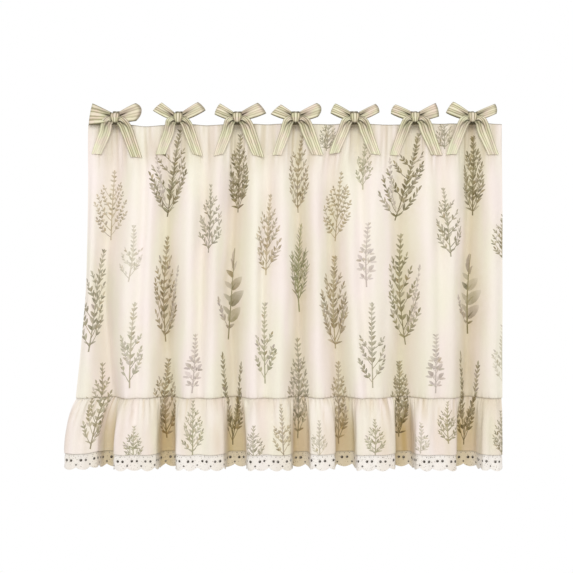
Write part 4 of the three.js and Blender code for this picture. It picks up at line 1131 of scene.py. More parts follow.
def band(C, flat_u, flat_v, closed=False):
    """A ribbon from a grid of points C (along, across): closed shell with its flat coordinates."""
    S, Q = C.shape[:2]
    if closed:
        ring = np.concatenate([C[-1:], C, C[:1]])
        da = (ring[2:] - ring[:-2])
    else:
        da = np.gradient(C, axis=0)
    dq = np.gradient(C, axis=1)
    N = unit(np.cross(da, dq))
    outer, inner = C + N * RIBBON, C - N * RIBBON
    V = np.concatenate([outer.reshape(-1, 3), inner.reshape(-1, 3)])
    n = S * Q
    faces, uv = [], []
    rows = S if closed else S - 1
    idx = lambda i, j: (i % S) * Q + j
    for i in range(rows):
        v0, v1 = flat_v[i], (flat_v[i + 1] if i + 1 < S else flat_v[-1] + (flat_v[-1] - flat_v[-2]))
        for j in range(Q - 1):
            a, b, c, d = idx(i, j), idx(i, j + 1), idx(i + 1, j + 1), idx(i + 1, j)
            ua, ub = flat_u[j], flat_u[j + 1]
            faces.append((a, d, c, b)); uv.append(((ua, v0), (ua, v1), (ub, v1), (ub, v0)))
            faces.append((a + n, b + n, c + n, d + n)); uv.append(((ua, v0), (ub, v0), (ub, v1), (ua, v1)))
        for j, flip in ((0, False), (Q - 1, True)):
            a, d = idx(i, j), idx(i + 1, j)
            f = (a, a + n, d + n, d)
            w = ((flat_u[j], v0), (flat_u[j], v0), (flat_u[j], v1), (flat_u[j], v1))
            faces.append(f[::-1] if flip else f); uv.append(w[::-1] if flip else w)
    if not closed:
        for i, flip in ((0, True), (S - 1, False)):
            for j in range(Q - 1):
                a, b = idx(i, j), idx(i, j + 1)
                f = (a, a + n, b + n, b)
                w = ((flat_u[j], flat_v[i]), (flat_u[j], flat_v[i]), (flat_u[j + 1], flat_v[i]), (flat_u[j + 1], flat_v[i]))
                faces.append(f[::-1] if flip else f); uv.append(w[::-1] if flip else w)
    return V, faces, uv

def spline(points, count):
    """count points spaced evenly along a smooth curve through the given ones."""
    pts = np.asarray(points, float)
    fine = along(pts.T, np.linspace(0, len(pts) - 1, 24 * len(pts))).T
    run = np.concatenate([[0], np.cumsum(np.linalg.norm(np.diff(fine[:, :3], axis=0), axis=1))])
    at = np.linspace(0, run[-1], count)
    return np.stack([np.interp(at, run, fine[:, i]) for i in range(fine.shape[1])], 1), at

Q_ACROSS = np.linspace(-1, 1, 23)

def pleats(q, phase, folds):
    return np.cos(np.pi * (q * folds + phase))

# how each bow's loops lie, from the knot's middle: (upper, lower corner of the tip, how far the
# tip rounds out), left loop then right; mm
LOOPS = [
    ((-39.3, 24.3), (-45.9, -12.6), 1.0, (36.5, 24.5), (37.0, -5.5), 9.5),
    ((-28.6, 25.7), (-43.9, 11.7), 1.0, (34.8, 26.3), (47.6, 12.3), 1.5),
    ((-30.2, 23.4), (-39.3, 4.9), 1.5, (36.3, 24.8), (50.4, 6.6), 1.5),
    ((-26.0, 21.6), (-43.6, 5.3), 1.0, (37.1, 24.2), (39.0, 1.0), 7.0),
    ((-34.2, 23.9), (-42.0, 7.4), 1.0, (36.4, 23.3), (42.8, 9.0), 2.0),
    ((-34.5, 21.2), (-41.5, 5.6), 2.0, (36.0, 23.9), (41.8, 0.8), 1.5),
    ((-33.6, 26.0), (-45.6, 7.2), 1.0, (39.5, 22.4), (42.4, 5.9), 2.0),
]

def pinch(q, at, width):
    return np.exp(-((q - at) / width) ** 2)

def loop_shell(rng, kx, kz, side, upper, lower, bulge):
    """One loop of a bow: out along the front, round the tip and back behind."""
    q = Q_ACROSS
    up = ((q + 1) / 2)[:, None]
    root = np.array([side * 6.0, -6.6]) * (1 - up) + np.array([side * 6.5, 8.4]) * up
    tip = np.array(lower) * (1 - up) + np.array(upper) * up
    mid_root, mid_tip = root.mean(0), tip.mean(0)
    L = float(np.linalg.norm(mid_tip - mid_root))
    out = (mid_tip - mid_root) / L
    tip = tip + out * (bulge * np.clip(1 - np.abs(q) ** 2.2, 0, 1))[:, None]
    layers = [  # how far along, forward, width share
        (-0.10, 1.6, 1), (0, 3.4, 1), (0.12, 4.8, 1), (0.3, 5.6, 1), (0.55, 5.8, 1), (0.80, 5.0, 1),
        (0.94, 3.3, 1), (0.998, 1.0, 1), (0.995, -1.0, 0.995), (0.93, -3.0, 0.985),
        (0.80, -4.2, 0.96), (0.55, -4.7, 0.94), (0.3, -4.5, 0.92), (0.12, -3.8, 0.92), (0, -2.8, 0.9), (-0.10, -1.4, 0.9)]
    pts = np.array(layers)
    pts[:, 0] *= L
    line, at = spline(pts, 50)
    line[:, 0] /= L
    at_crease = rng.uniform(0.05, 0.25)
    at_low, at_high = rng.uniform(-0.62, -0.42), rng.uniform(0.62, 0.76)
    depth = rng.uniform(4.2, 5.4)
    wav = rng.uniform(-1, 1, 6)
    C = np.empty((len(line), len(q), 3))
    for i, (o, f, share) in enumerate(line):
        front = i < len(line) / 2
        g = np.clip(o, -0.1, 1.02)
        near = math.exp(-(max(g, 0) / 0.34) ** 2)
        reach = np.clip(g, 0, 1)
        if front:
            lift = (-depth * pinch(q, at_crease + 0.05 * reach, 0.15 + 0.22 * reach) * math.exp(-(max(g, 0) / 0.40) ** 2)
                    - 2.0 * pinch(q, at_low, 0.13 + 0.1 * reach) * near - 1.6 * pinch(q, at_high, 0.12 + 0.1 * reach) * near)
            lift = lift + 1.3 * (1 - q * q) * math.sin(math.pi * reach ** 0.8)
            lift = lift + 0.5 * reach * (1 - reach ** 4) * np.sin(2.3 * np.pi * q + 2 * wav[0])
        else:
            lift = -(0.9 * (1 - q * q) * math.sin(math.pi * reach) + 0.4 * reach * np.sin(2.0 * np.pi * q + 2 * wav[1]))
            lift = lift + 1.8 * pinch(q, at_crease, 0.2) * near
        xz = root + (tip - root) * g
        centre = xz.mean(0)
        xz = centre + (xz - centre) * share
        sag = -1.6 * math.sin(math.pi * reach) * np.clip(-q, 0, 1) ** 1.5
        C[i, :, 0] = kx + xz[:, 0]
        C[i, :, 1] = -(KNOT_F + f + lift) - HOLLOW
        C[i, :, 2] = kz + xz[:, 1] + sag
    g = np.clip(line[:, 0:1], 0, 1)
    ahead = np.arange(len(line))[:, None] < len(line) / 2
    Q = q[None, :]
    # painted shade: dark in the creases by the knot, along the edges, at the right loop's turned tip and over the
    # hidden back layer
    dark = 1.1 * np.exp(-((Q - at_crease - 0.05 * g) / (0.20 + 0.25 * g)) ** 2) * np.exp(-((g - 0.05) / 0.31) ** 2)
    dark = dark + 0.62 * np.exp(-((Q - at_low) / (0.11 + 0.1 * g)) ** 2) * np.exp(-(g / 0.34) ** 2)
    dark = dark + 0.55 * np.exp(-((Q - at_high) / (0.11 + 0.1 * g)) ** 2) * np.exp(-(g / 0.36) ** 2)
    dark = dark + 0.7 * np.exp(-(g / 0.05) ** 2) + 0.26 * smooth((np.abs(Q) - 0.86) / 0.12)
    dark = dark + 0.20 * smooth((0.2 + 0.5 * np.sin(3.1 * Q + 3 * wav[2]) - 0.3) / 0.4) * np.exp(-((g - 0.5) / 0.4) ** 2)
    if side > 0:
        dark = dark + 0.50 * np.exp(-((g - 0.96) / 0.07) ** 2)
    else:
        dark = dark + 0.10 * np.exp(-((g - 0.98) / 0.05) ** 2)
    dark = np.where(ahead, dark, 0.30 + 0.4 * np.exp(-(g / 0.3) ** 2))
    return (*band(C, q * RIBBON_WIDE / 2, at + rng.uniform(0, 300)), both_faces(dark))

def both_faces(dark):
    dark = np.clip(dark, 0, 1).ravel()
    return np.concatenate([dark, dark])

TAIL_EDGES = {
    # (sideways from the knot, height from the knot) down the outer and the inner edge; mm
    -1: ([(7.5, 2.0), (14, 0.2), (20, -4), (23.5, -12), (26.5, -22), (32, -38), (36.5, -52), (40.2, -65.5)],
         [(1.0, -4.5), (2.0, -7.5), (4.2, -11), (6.4, -16), (9, -25), (13.8, -38), (18.8, -51), (24, -64)]),
    1: ([(7.5, 2.0), (14.5, 0.2), (21.5, -4.5), (27, -13), (30.5, -22), (35.6, -38), (40, -52), (44.5, -66)],
        [(1.0, -4.5), (2.0, -7.5), (4.4, -11.5), (6.8, -16), (9.6, -25), (14.8, -38), (20, -51), (25.8, -64.5)]),
}

def tail_shell(rng, kx, kz, side, dx, dz):
    """One tail: out from under the knot, over the top edge and down the panel's face."""
    outer, inner = (np.array(e, float) for e in TAIL_EDGES[side])
    stretch_x = abs(dx) / (33.0 if side < 0 else 36.0)
    stretch_z = abs(dz) / 65.5
    line, _ = spline(np.concatenate([outer, inner], 1), 40)
    line = line * np.array([stretch_x, stretch_z, stretch_x, stretch_z])
    line = line + rng.uniform(-0.5, 0.5, 4)
    S = len(line)
    ks = np.linspace(0, 1, S)
    q = Q_ACROSS                                         # -1 inner, 1 outer
    if side < 0:
        q = q[::-1]
    up = (q + 1)[None, :] / 2
    X = kx + side * (line[:, 2:3] * (1 - up) + line[:, 0:1] * up)
    Z = kz + (line[:, 3:4] * (1 - up) + line[:, 1:2] * up)
    # the far end is cut straight, not quite square
    cut = smooth((ks - 0.9) / 0.1)[:, None]
    Z = Z + cut * q[None, :] * rng.uniform(-1.2, 1.2)
    # how far forward the cloth under each point reaches, within a few millimetres
    need = np.full(X.shape, 99.0)
    for i in range(S):
        for j in range(len(q)):
            if Z[i, j] < 3.0:
                need[i, j] = min(panel_span(X[i, j], min(Z[i, j] + dzz, 0), 3.0)[0] for dzz in (-4, 0, 4))
    need = need - CLOTH - RIBBON - 0.35
    out = np.maximum(smooth((np.abs(X - kx) - 6.2) / 4.2), smooth((kz - Z - 9.2) / 3.5))
    start = -(KNOT_F + 1.0 + 5.4 * out) - HOLLOW
    Y = np.minimum(np.where(need > 50, start, need), 99)
    for _ in range(12):
        for axis, width in ((0, 3), (1, 3)):
            pad = np.pad(Y, [(width, width) if a == axis else (0, 0) for a in (0, 1)], mode="edge")
            kern = np.ones(2 * width + 1) / (2 * width + 1)
            Y = np.apply_along_axis(lambda r: np.convolve(r, kern, "valid"), axis, pad)
        Y = np.minimum(Y, need)
        Y[:9] = np.where(kz - Z[:9] < 10.0, start[:9] + 1.0 * smooth(ks[:9, None] / 0.25), np.minimum(Y[:9], start[:9] + 4.5 * smooth(ks[:9, None] / 0.25)))
    clear = need
    wav = rng.uniform()
    # creases run down from the knot and open out; they may go back only as far as the cloth
    near = np.exp(-(ks / 0.30) ** 2)[:, None]
    at_crease = (-0.62 + 0.85 * np.clip(ks / 0.33, 0, 1))[:, None]
    dip = 3.6 * np.exp(-((q[None, :] - at_crease) / 0.20) ** 2) * np.exp(-((ks - 0.12) / 0.24) ** 2)[:, None]
    dip = dip + 1.2 * pinch(q, 0.62, 0.16)[None, :] * near
    swell = (1.5 * near + 0.9) * (0.1 + 0.9 * out) * (0.35 + 0.65 * np.cos(np.pi * (q[None, :] - at_crease) * 1.25) ** 2)
    wave = 0.55 * np.sin(2 * np.pi * (0.85 * ks[:, None] + 0.22 * q[None, :] + rng.uniform())) * smooth(ks / 0.4)[:, None]
    curl = 0.9 * (q ** 2)[None, :] * smooth((ks - 0.35) / 0.65)[:, None] * rng.uniform(0.4, 1.0)
    Y = Y - swell - (0.5 + wave) * smooth(ks / 0.3)[:, None] - curl * 0.6 + dip
    Y = np.minimum(Y, clear)
    C = np.stack([X, Y, Z], -1)
    run = np.concatenate([[0], np.cumsum(np.linalg.norm(np.diff(C[:, 11], axis=0), axis=1))])
    k = ks[:, None]
    # painted shade: dark in the creases from the knot, at the edges and where the tail meets the knot
    dark = 1.15 * np.exp(-((q[None, :] - at_crease) / 0.18) ** 2) * np.exp(-((k - 0.15) / 0.20) ** 2)
    dark = dark + 0.55 * pinch(q, 0.62, 0.12)[None, :] * np.exp(-((k - 0.05) / 0.16) ** 2)
    dark = dark + 0.50 * np.exp(-((q[None, :] - at_crease + 0.52) / 0.13) ** 2) * np.exp(-((k - 0.20) / 0.20) ** 2)
    dark = dark + 0.16 * smooth((np.abs(q[None, :]) - 0.84) / 0.14) + 0.45 * np.exp(-(k / 0.05) ** 2)
    dark = dark + 0.14 * np.clip(np.sin(2 * np.pi * (0.8 * k + 0.45 * q[None, :] + wav)), 0, 1)
    return (*band(C, Q_ACROSS * RIBBON_WIDE / 2, run + rng.uniform(0, 300)), both_faces(dark))

def knot_shell(rng, kx, kz):
    """The knot: ribbon wrapped round, so its pleats run up and down the front."""
    A, B = 40, 27
    V, faces, uv = [], [], []
    ridges = rng.uniform(1.7, 2.1)
    phase = rng.uniform(-0.3, 0.3)
    q = np.linspace(-1, 1, B)
    for i in range(A):
        a = 2 * math.pi * i / A                       # 0 in front, quarter turn at the top
        ca, sa = math.cos(a), math.sin(a)
        width = KNOT_W / 2 * (0.98 - 0.36 * smooth((0.45 - sa) / 1.4) + 0.02 * math.sin(2 * a))
        for j in range(B):
            k = q[j]
            round_off = (1 - abs(k) ** 3.2) ** 0.42 if abs(k) < 1 else 0.0
            ripple = 1 + 0.055 * math.cos(math.pi * (k * ridges * 2 + phase)) * (1 - abs(k) ** 3) * (0.6 + 0.4 * ca)
            squash = 1.0 / (abs(ca) ** 2.6 + abs(sa) ** 2.6) ** (1 / 2.6)
            R = round_off * ripple * squash
            V.append((kx + width * math.sin(k * math.pi / 2 * 0.96), -(KNOT_F + KNOT_D / 2 * ca * R) - HOLLOW,
                      kz + (KNOT_H / 2 - 0.6) * sa * R * 0.97))
    V = np.array(V)
    # each end closes on one point
    left, right = len(V), len(V) + 1
    ends = []
    for j in (0, B - 1):
        ends.append(V[[i * B + j for i in range(A)]].mean(0))
    V = np.concatenate([V, np.array(ends)])
    off = rng.uniform(0, 300)
    for i in range(A):
        n = (i + 1) % A
        v0, v1 = off + 50 * i / A, off + 50 * (i + 1) / A
        for j in range(1, B - 2):
            faces.append((i * B + j, i * B + j + 1, n * B + j + 1, n * B + j))
            u0, u1 = q[j] * 11, q[j + 1] * 11
            uv.append(((u0, v0), (u1, v0), (u1, v1), (u0, v1)))
        faces.append((left, i * B + 1, n * B + 1))
        uv.append(((-11, v0), (q[1] * 11, v0), (q[1] * 11, v1)))
        faces.append((i * B + B - 2, right, n * B + B - 2))
        uv.append(((q[-2] * 11, v0), (11, v0), (q[-2] * 11, v1)))
    used = sorted({v for f in faces for v in f})
    back = {v: i for i, v in enumerate(used)}
    V = V[used]
    side = np.abs(V[:, 0] - kx) / (KNOT_W / 2)
    rise = (V[:, 2] - kz) / (KNOT_H / 2)
    # painted shade: darker at the knot's sides, top, underside and in its pleats
    dark = 0.45 * smooth((side - 0.70) / 0.25) + 0.75 * smooth((-rise - 0.66) / 0.25) + 0.40 * smooth((rise - 0.80) / 0.15)
    dark = dark + 0.30 * (0.5 - 0.5 * np.cos(np.pi * ((V[:, 0] - kx) / (KNOT_W / 2) * ridges * 2 + phase))) * (1 - side ** 2)
    return V, [tuple(back[v] for v in f) for f in faces], uv, np.clip(dark, 0, 1)

def strand_shell(rng, kx, kz, path, wide, top=None):
    """A strand of the neck, in one plane: path is (forward, height, width share). Forward of top,
    where it rises above the knot, it lies in the bow's shadow."""
    line, at = spline(path, 40)
    q = np.linspace(-1, 1, 15)
    C = np.empty((len(line), len(q), 3))
    tangent = unit(np.gradient(line[:, :2], axis=0))
    phase = rng.uniform(-0.3, 0.3)
    for i, (f, z, share) in enumerate(line):
        n = np.array([-tangent[i, 1], tangent[i, 0]])
        lift = 0.55 * pleats(q, phase, 2.0) * (1.25 - share)
        C[i, :, 0] = kx + q * wide / 2 * share
        C[i, :, 1] = -(f + n[0] * lift) - HOLLOW
        C[i, :, 2] = z + n[1] * lift
    # painted shade: the strand is dark wherever it lies in front of the cloth, under the knot
    dark = np.repeat(smooth((line[:, 0:1] - 1.0) / 5.0), len(q), 1)
    if top is not None:
        over = smooth((line[:, 1:2] - 11.0) / 4.0) * smooth((line[:, 0:1] - top + 3.0) / 3.0)
        dark = np.maximum(dark, over * (0.62 + 0.38 * np.abs(q[None, :]) ** 2))
    return (*band(C, q * RIBBON_WIDE / 2, at + rng.uniform(0, 300)), both_faces(dark))

# how pale each tie's left end is, and how much its right one fades
PALE_ENDS = [(0.62, 0.0), (0.46, 0.40), (0.36, 0.15), (0.36, 0.35), (0.33, 0.58), (0.36, 0.35), (0.50, 0.55)]

def make_tie(index, row):
    name, kx, kz, ldx, ldz, lw, rdx, rdz, rw, ltx, ltz, rtx, rtz = row
    rng = np.random.RandomState(500 + index)
    kx = kx + SHIFT[0]
    shells = []
    lu, ll, lb, ru, rl, rb = LOOPS[index]
    shells.append(("knot", knot_shell(rng, kx, kz - 1.2)))
    shells.append(("loop", loop_shell(rng, kx, kz, -1, lu, ll, lb)))
    shells.append(("wrong", loop_shell(rng, kx, kz, 1, ru, rl, rb)))
    shells.append(("tail", tail_shell(rng, kx, kz, -1, ltx, ltz)))
    shells.append(("tail", tail_shell(rng, kx, kz, 1, rtx, rtz)))
    # the neck: round the rail's place and down behind the heading
    behind = max(panel_span(kx, -z, 6.5)[1] for z in range(0, 20, 2))
    sewn = -(behind + 1.02 + RIBBON + 0.55) - HOLLOW
    r = ROD_SPACE / 2 + 0.6
    cz, cf = 1.8 + r, sewn + 4
    arc = [(cf + r * math.cos(math.radians(a)), cz + r * math.sin(math.radians(a)), 0.95) for a in (62, 104, 148, 190, 228)]
    path = [(10, 10.5, 0.8), (cf + 1.12 * r, cz + 0.36 * r, 0.9)] + arc + [(sewn - 1.2, 0.6, 1.0), (sewn, -5, 1.05), (sewn, -17, 1.1)]
    shells.append(("neck", strand_shell(rng, kx, kz, path, 14, top=cf)))
    front = [(sewn, -3, 1.0), (sewn + 0.2, 0.9, 1.0), (sewn + 3.2, 3.2, 1.0), (4, 4.4, 1.1), (8, 4.2, 1.3), (11, 2.0, 1.4),
             (12.2, -2.2, 1.35), (12.0, -4.4, 1.2)]
    shells.append(("neck", strand_shell(rng, kx, kz, front, 11)))
    V, faces, uv, part, fold, washed, base = [], [], [], [], [], [], 0
    for what, (v, f, w, dark) in shells:
        V.append(v)
        # the free ends are paler, the left one most
        low = smooth((kz - v[:, 2] - 14) / 48) if what == "tail" else np.zeros(len(v))
        left, right = PALE_ENDS[index]
        if what == "tail" and v[:, 0].mean() < kx:
            washed.append(left + 0.50 * low)
        else:
            washed.append(right * low)
        faces += [tuple(i + base for i in g) for g in f]
        uv += w
        part += [1.0 if what == "wrong" else 0.0] * len(v)
        fold.append(dark)
        base += len(v)
    V = np.concatenate(V)
    me = bpy.data.meshes.new(name + "_bow")
    me.from_pydata((V * 0.001).tolist(), [], faces)
    me.polygons.foreach_set("use_smooth", np.ones(len(faces), bool))
    o = bpy.data.objects.new(name + "_bow", me)
    bpy.context.scene.collection.objects.link(o)
    set_uv(o, "cloth", np.array([c for g in uv for c in g]) * 0.001)
    set_value(o, "wrong_side", part)
    # the bow's painted shade
    set_value(o, "fold", np.concatenate(fold))
    set_value(o, "washed", np.concatenate(washed))
    me.set_sharp_from_angle(angle=math.radians(52))
    return o

# ---------------------------------------------------------------- materials

class Nodes:
    """Short hands for building a material's nodes."""
    def __init__(self, name):
        self.m = bpy.data.materials.new(name)
        self.m.use_nodes = True
        self.t = self.m.node_tree
        self.t.nodes.clear()
        self.out = self.t.nodes.new("ShaderNodeOutputMaterial")
        self.b = self.t.nodes.new("ShaderNodeBsdfPrincipled")
        self.t.links.new(self.b.outputs[0], self.out.inputs[0])

    def link(self, a, b):
        self.t.links.new(a, b)

    def put(self, socket, value):
        if isinstance(value, bpy.types.NodeSocket):
            self.link(value, socket)
        else:
            socket.default_value = value

    def uv(self, name="cloth"):
        n = self.t.nodes.new("ShaderNodeUVMap")
        n.uv_map = name
        return n.outputs[0]

    def attribute(self, name):
        n = self.t.nodes.new("ShaderNodeAttribute")
        n.attribute_name = name
        return n

    def scaled(self, vector, s):
        n = self.t.nodes.new("ShaderNodeMapping")
        n.inputs["Scale"].default_value = s
        self.link(vector, n.inputs["Vector"])
        return n.outputs[0]

    def wave(self, vector, scale, direction="X", distortion=0.0, detail=0.0, detail_scale=1.0, profile="SIN"):
        n = self.t.nodes.new("ShaderNodeTexWave")
        n.wave_type, n.bands_direction, n.wave_profile = "BANDS", direction, profile
        n.inputs["Scale"].default_value = scale
        n.inputs["Distortion"].default_value = distortion
        n.inputs["Detail"].default_value = detail
        n.inputs["Detail Scale"].default_value = detail_scale
        self.link(vector, n.inputs["Vector"])
        return n.outputs["Fac"]

    def noise(self, vector, scale, detail=2.0, rough=0.5):
        n = self.t.nodes.new("ShaderNodeTexNoise")
        n.inputs["Scale"].default_value = scale
        n.inputs["Detail"].default_value = detail
        n.inputs["Roughness"].default_value = rough
        self.link(vector, n.inputs["Vector"])
        return n.outputs["Fac"]

    def ranged(self, value, a, b, lo, hi):
        n = self.t.nodes.new("ShaderNodeMapRange")
        n.inputs["From Min"].default_value, n.inputs["From Max"].default_value = a, b
        n.inputs["To Min"].default_value, n.inputs["To Max"].default_value = lo, hi
        self.link(value, n.inputs["Value"])
        return n.outputs[0]

    def math(self, op, a, b=0.0, c=0.0):
        n = self.t.nodes.new("ShaderNodeMath")
        n.operation = op
        for socket, v in zip(n.inputs, (a, b, c)):
            self.put(socket, v)
        return n.outputs[0]

    def gamma(self, colour, power):
        n = self.t.nodes.new("ShaderNodeGamma")
        self.link(colour, n.inputs["Color"])
        n.inputs["Gamma"].default_value = power
        return n.outputs[0]

    def voronoi(self, vector, scale):
        n = self.t.nodes.new("ShaderNodeTexVoronoi")
        n.inputs["Scale"].default_value = scale
        self.link(vector, n.inputs["Vector"])
        return n.outputs["Distance"], n.outputs["Color"]

    def blend(self, fac, a, b, mode="MIX"):
        n = self.t.nodes.new("ShaderNodeMix")
        n.data_type, n.blend_type = "RGBA", mode
        self.put(n.inputs[0], fac)
        self.put(n.inputs[6], a)
        self.put(n.inputs[7], b)
        return n.outputs[2]

    def ramp(self, fac, stops, kind="LINEAR"):
        n = self.t.nodes.new("ShaderNodeValToRGB")
        n.color_ramp.interpolation = kind
        e = n.color_ramp.elements
        while len(e) < len(stops):
            e.new(0.5)
        for element, (p, colour) in zip(e, stops):
            element.position = p
            element.color = (*colour, 1.0)
        self.link(fac, n.inputs[0])
        return n.outputs["Color"]

    def bump(self, height, distance, strength=1.0, below=None):
        n = self.t.nodes.new("ShaderNodeBump")
        n.inputs["Distance"].default_value = distance
        n.inputs["Strength"].default_value = strength
        self.link(height, n.inputs["Height"])
        if below is not None:
            self.link(below, n.inputs["Normal"])
        return n.outputs[0]

def rgb(r, g, b):
    return tuple(float(c) for c in srgb(r, g, b))

def weave(n, uv, thread):
    """Plain weave: over-and-under threads about `thread` metres apart. Gives 0 to 1."""
    s = 0.314159 / (2 * thread)
    wx = n.wave(uv, s, "X", 0.6, 1.0, 1.5)
    wy = n.wave(uv, s, "Y", 0.6, 1.0, 1.5)
    both = n.math("MULTIPLY", n.math("SUBTRACT", wx, 0.5), n.math("SUBTRACT", wy, 0.5))
    fx = n.wave(uv, 2 * s, "X")
    fy = n.wave(uv, 2 * s, "Y")
    warp = n.math("MULTIPLY", n.math("GREATER_THAN", both, 0.0), fx)
    weft = n.math("MULTIPLY", n.math("LESS_THAN", both, 0.0), fy)
    return n.math("ADD", warp, weft)

def cotton(name, base, cast_a, cast_b, dark, thread, printed):
    n = Nodes(name)
    uv = n.uv()
    casts = n.noise(n.scaled(uv, (1.0, 0.28, 1.0)), 20.0, 2.0, 0.55)
    colour = n.blend(n.ranged(casts, 0.36, 0.64, 0.0, 1.0), (*cast_a, 1), (*cast_b, 1))
    colour = n.blend(0.75, (*base, 1), colour)
    # slubs: uneven threads across and down the cloth, and a fine mottle
    slub_x = n.noise(n.scaled(uv, (120.0, 2600.0, 1.0)), 1.0, 3.0, 0.6)
    slub_y = n.noise(n.scaled(uv, (2600.0, 110.0, 1.0)), 1.0, 3.0, 0.6)
    both = n.math("ADD", slub_x, slub_y)
    colour = n.blend(n.ranged(both, 0.70, 1.30, 0.10, 0.0), colour, (*dark, 1))
    wv = weave(n, uv, thread)
    colour = n.blend(n.ranged(wv, 0.0, 0.8, 0.10, 0.0), colour, (*dark, 1))
    if printed:
        p = n.attribute("print")
        mottle = n.noise(n.scaled(uv, (1.0, 1.0, 1.0)), 520.0, 3.0, 0.6)
        wash = n.noise(uv, 90.0, 2.0, 0.5)
        cover = n.math("MULTIPLY", p.outputs["Alpha"], n.math("MULTIPLY",
                       n.ranged(mottle, 0.3, 0.7, 0.80, 1.10), n.ranged(wash, 0.3, 0.7, 0.84, 1.10)))
        cover = n.math("MULTIPLY", cover, n.ranged(wv, 0.0, 0.7, 0.95, 1.0))
        wet = n.math("MULTIPLY", n.attribute("stain").outputs["Fac"], n.ranged(wash, 0.3, 0.7, 0.08, 0.30))
        colour = n.blend(wet, colour, (*rgb(226, 216, 176), 1))
        colour = n.gamma(n.blend(n.math("MINIMUM", cover, 1.0), n.gamma(colour, 0.4545), n.gamma(p.outputs["Color"], 0.4545)), 2.2)
    else:
        p = n.attribute("print")
        # little worked specks scattered between the eyelets
        dots, which = n.voronoi(uv, 330.0)
        some = n.math("GREATER_THAN", n.ranged(which, 0.0, 1.0, 0.0, 1.0), 0.42)
        speck = n.math("MULTIPLY", n.ranged(dots, 0.16, 0.30, 0.60, 0.0), some)
        colour = n.blend(speck, colour, (*rgb(128, 114, 84), 1))
        # the eyelets' painted shadow, read from the print attribute
        colour = n.blend(p.outputs["Alpha"], colour, p.outputs["Color"])
    # dark lines of stitching and painted shade along the edges and seams
    t = n.attribute("stitches_and_painted_shade")
    colour = n.blend(n.math("MULTIPLY", t.outputs["Fac"], 0.85), colour, (*rgb(118, 107, 80), 1))
    # painted shade in the folds, creases and heading
    deep = n.attribute("fold")
    # the painted fold shade is a little warmer on the ruffle and trim than on the panel
    tone = n.blend(n.attribute("warmer_painted_shade").outputs["Fac"], (0.57, 0.50, 0.29, 1), (0.60, 0.485, 0.235, 1))
    colour = n.blend(deep.outputs["Fac"], colour, tone, "MULTIPLY")
    n.put(n.b.inputs["Base Color"], colour)
    n.put(n.b.inputs["Roughness"], n.ranged(slub_x, 0.3, 0.7, 0.82, 0.94))
    n.b.inputs["Sheen Weight"].default_value = 0.12
    n.b.inputs["Sheen Roughness"].default_value = 0.5
    n.b.inputs["Specular IOR Level"].default_value = 0.25
    crumple = n.noise(n.scaled(uv, (1.0, 0.6, 1.0)), 75.0, 3.0, 0.6)
    lower = n.bump(crumple, 0.0012, 0.45)
    mid = n.bump(both, 0.00012, 0.6, lower)
    n.put(n.b.inputs["Normal"], n.bump(wv, 0.00010, 0.6, mid))
    return n.m

def ribbon_material():
    n = Nodes("striped_ribbon")
    uv = n.uv()
    split = n.t.nodes.new("ShaderNodeSeparateXYZ")
    n.link(uv, split.inputs[0])
    # woven stripes: the flat width runs from 0 to 1 over the ramp
    across = n.math("ADD", n.math("DIVIDE", split.outputs[0], 0.023), 0.5)
    wobble = n.noise(n.scaled(uv, (1.0, 0.3, 1.0)), 260.0, 2.0, 0.5)
    across = n.math("ADD", across, n.ranged(wobble, 0.3, 0.7, -0.016, 0.016))
    cream, pale, sage = rgb(251, 245, 230), rgb(242, 232, 214), rgb(184, 179, 152)
    stripe = n.ramp(across, [
        (0.000, sage), (0.035, sage), (0.065, cream), (0.150, cream), (0.180, sage), (0.250, sage), (0.280, pale),
        (0.330, pale), (0.355, sage), (0.405, sage), (0.435, cream), (0.565, cream), (0.595, sage), (0.645, sage),
        (0.670, pale), (0.720, pale), (0.750, sage), (0.820, sage), (0.850, cream), (0.935, cream), (0.965, sage)])
    wrong = n.attribute("wrong_side").outputs["Fac"]
    stripe = n.blend(n.math("MULTIPLY", wrong, 0.45), stripe, (*rgb(243, 230, 220), 1))
    stripe = n.blend(n.math("MULTIPLY", n.attribute("washed").outputs["Fac"], 0.66), stripe, (*rgb(254, 250, 238), 1))
    casts = n.noise(uv, 46.0, 2.0, 0.5)
    tone = n.blend(n.ranged(casts, 0.40, 0.62, 0.0, 1.0), (*rgb(248, 252, 232), 1), (*rgb(252, 243, 238), 1))
    colour = n.blend(1.0, stripe, tone, "MULTIPLY")
    # painted shade of the bow's creases, turns and hidden layers, multiplied into the stripes
    colour = n.blend(n.attribute("fold").outputs["Fac"], colour, (0.05, 0.04, 0.014, 1), "MULTIPLY")
    rib_y = n.wave(uv, 0.314159 / 0.0007, "Y", 0.8, 1.0, 2.0)
    rib_x = n.wave(uv, 0.314159 / 0.0005, "X", 0.3, 1.0, 1.0)
    thread = n.math("ADD", n.math("MULTIPLY", rib_y, 0.6), n.math("MULTIPLY", rib_x, 0.4))
    colour = n.blend(n.ranged(thread, 0.1, 0.8, 0.12, 0.0), colour, (*rgb(160, 152, 122), 1))
    fuzz = n.noise(uv, 1400.0, 2.0, 0.6)
    colour = n.blend(n.ranged(fuzz, 0.35, 0.7, 0.10, 0.0), colour, (*rgb(150, 140, 110), 1))
    n.put(n.b.inputs["Base Color"], colour)
    n.put(n.b.inputs["Roughness"], n.ranged(fuzz, 0.3, 0.7, 0.66, 0.84))
    n.b.inputs["Sheen Weight"].default_value = 0.10
    n.b.inputs["Sheen Roughness"].default_value = 0.45
    n.b.inputs["Specular IOR Level"].default_value = 0.3
    low = n.bump(n.noise(uv, 120.0, 2.0, 0.5), 0.0008, 0.4)
    n.put(n.b.inputs["Normal"], n.bump(thread, 0.00012, 0.7, low))
    return n.m

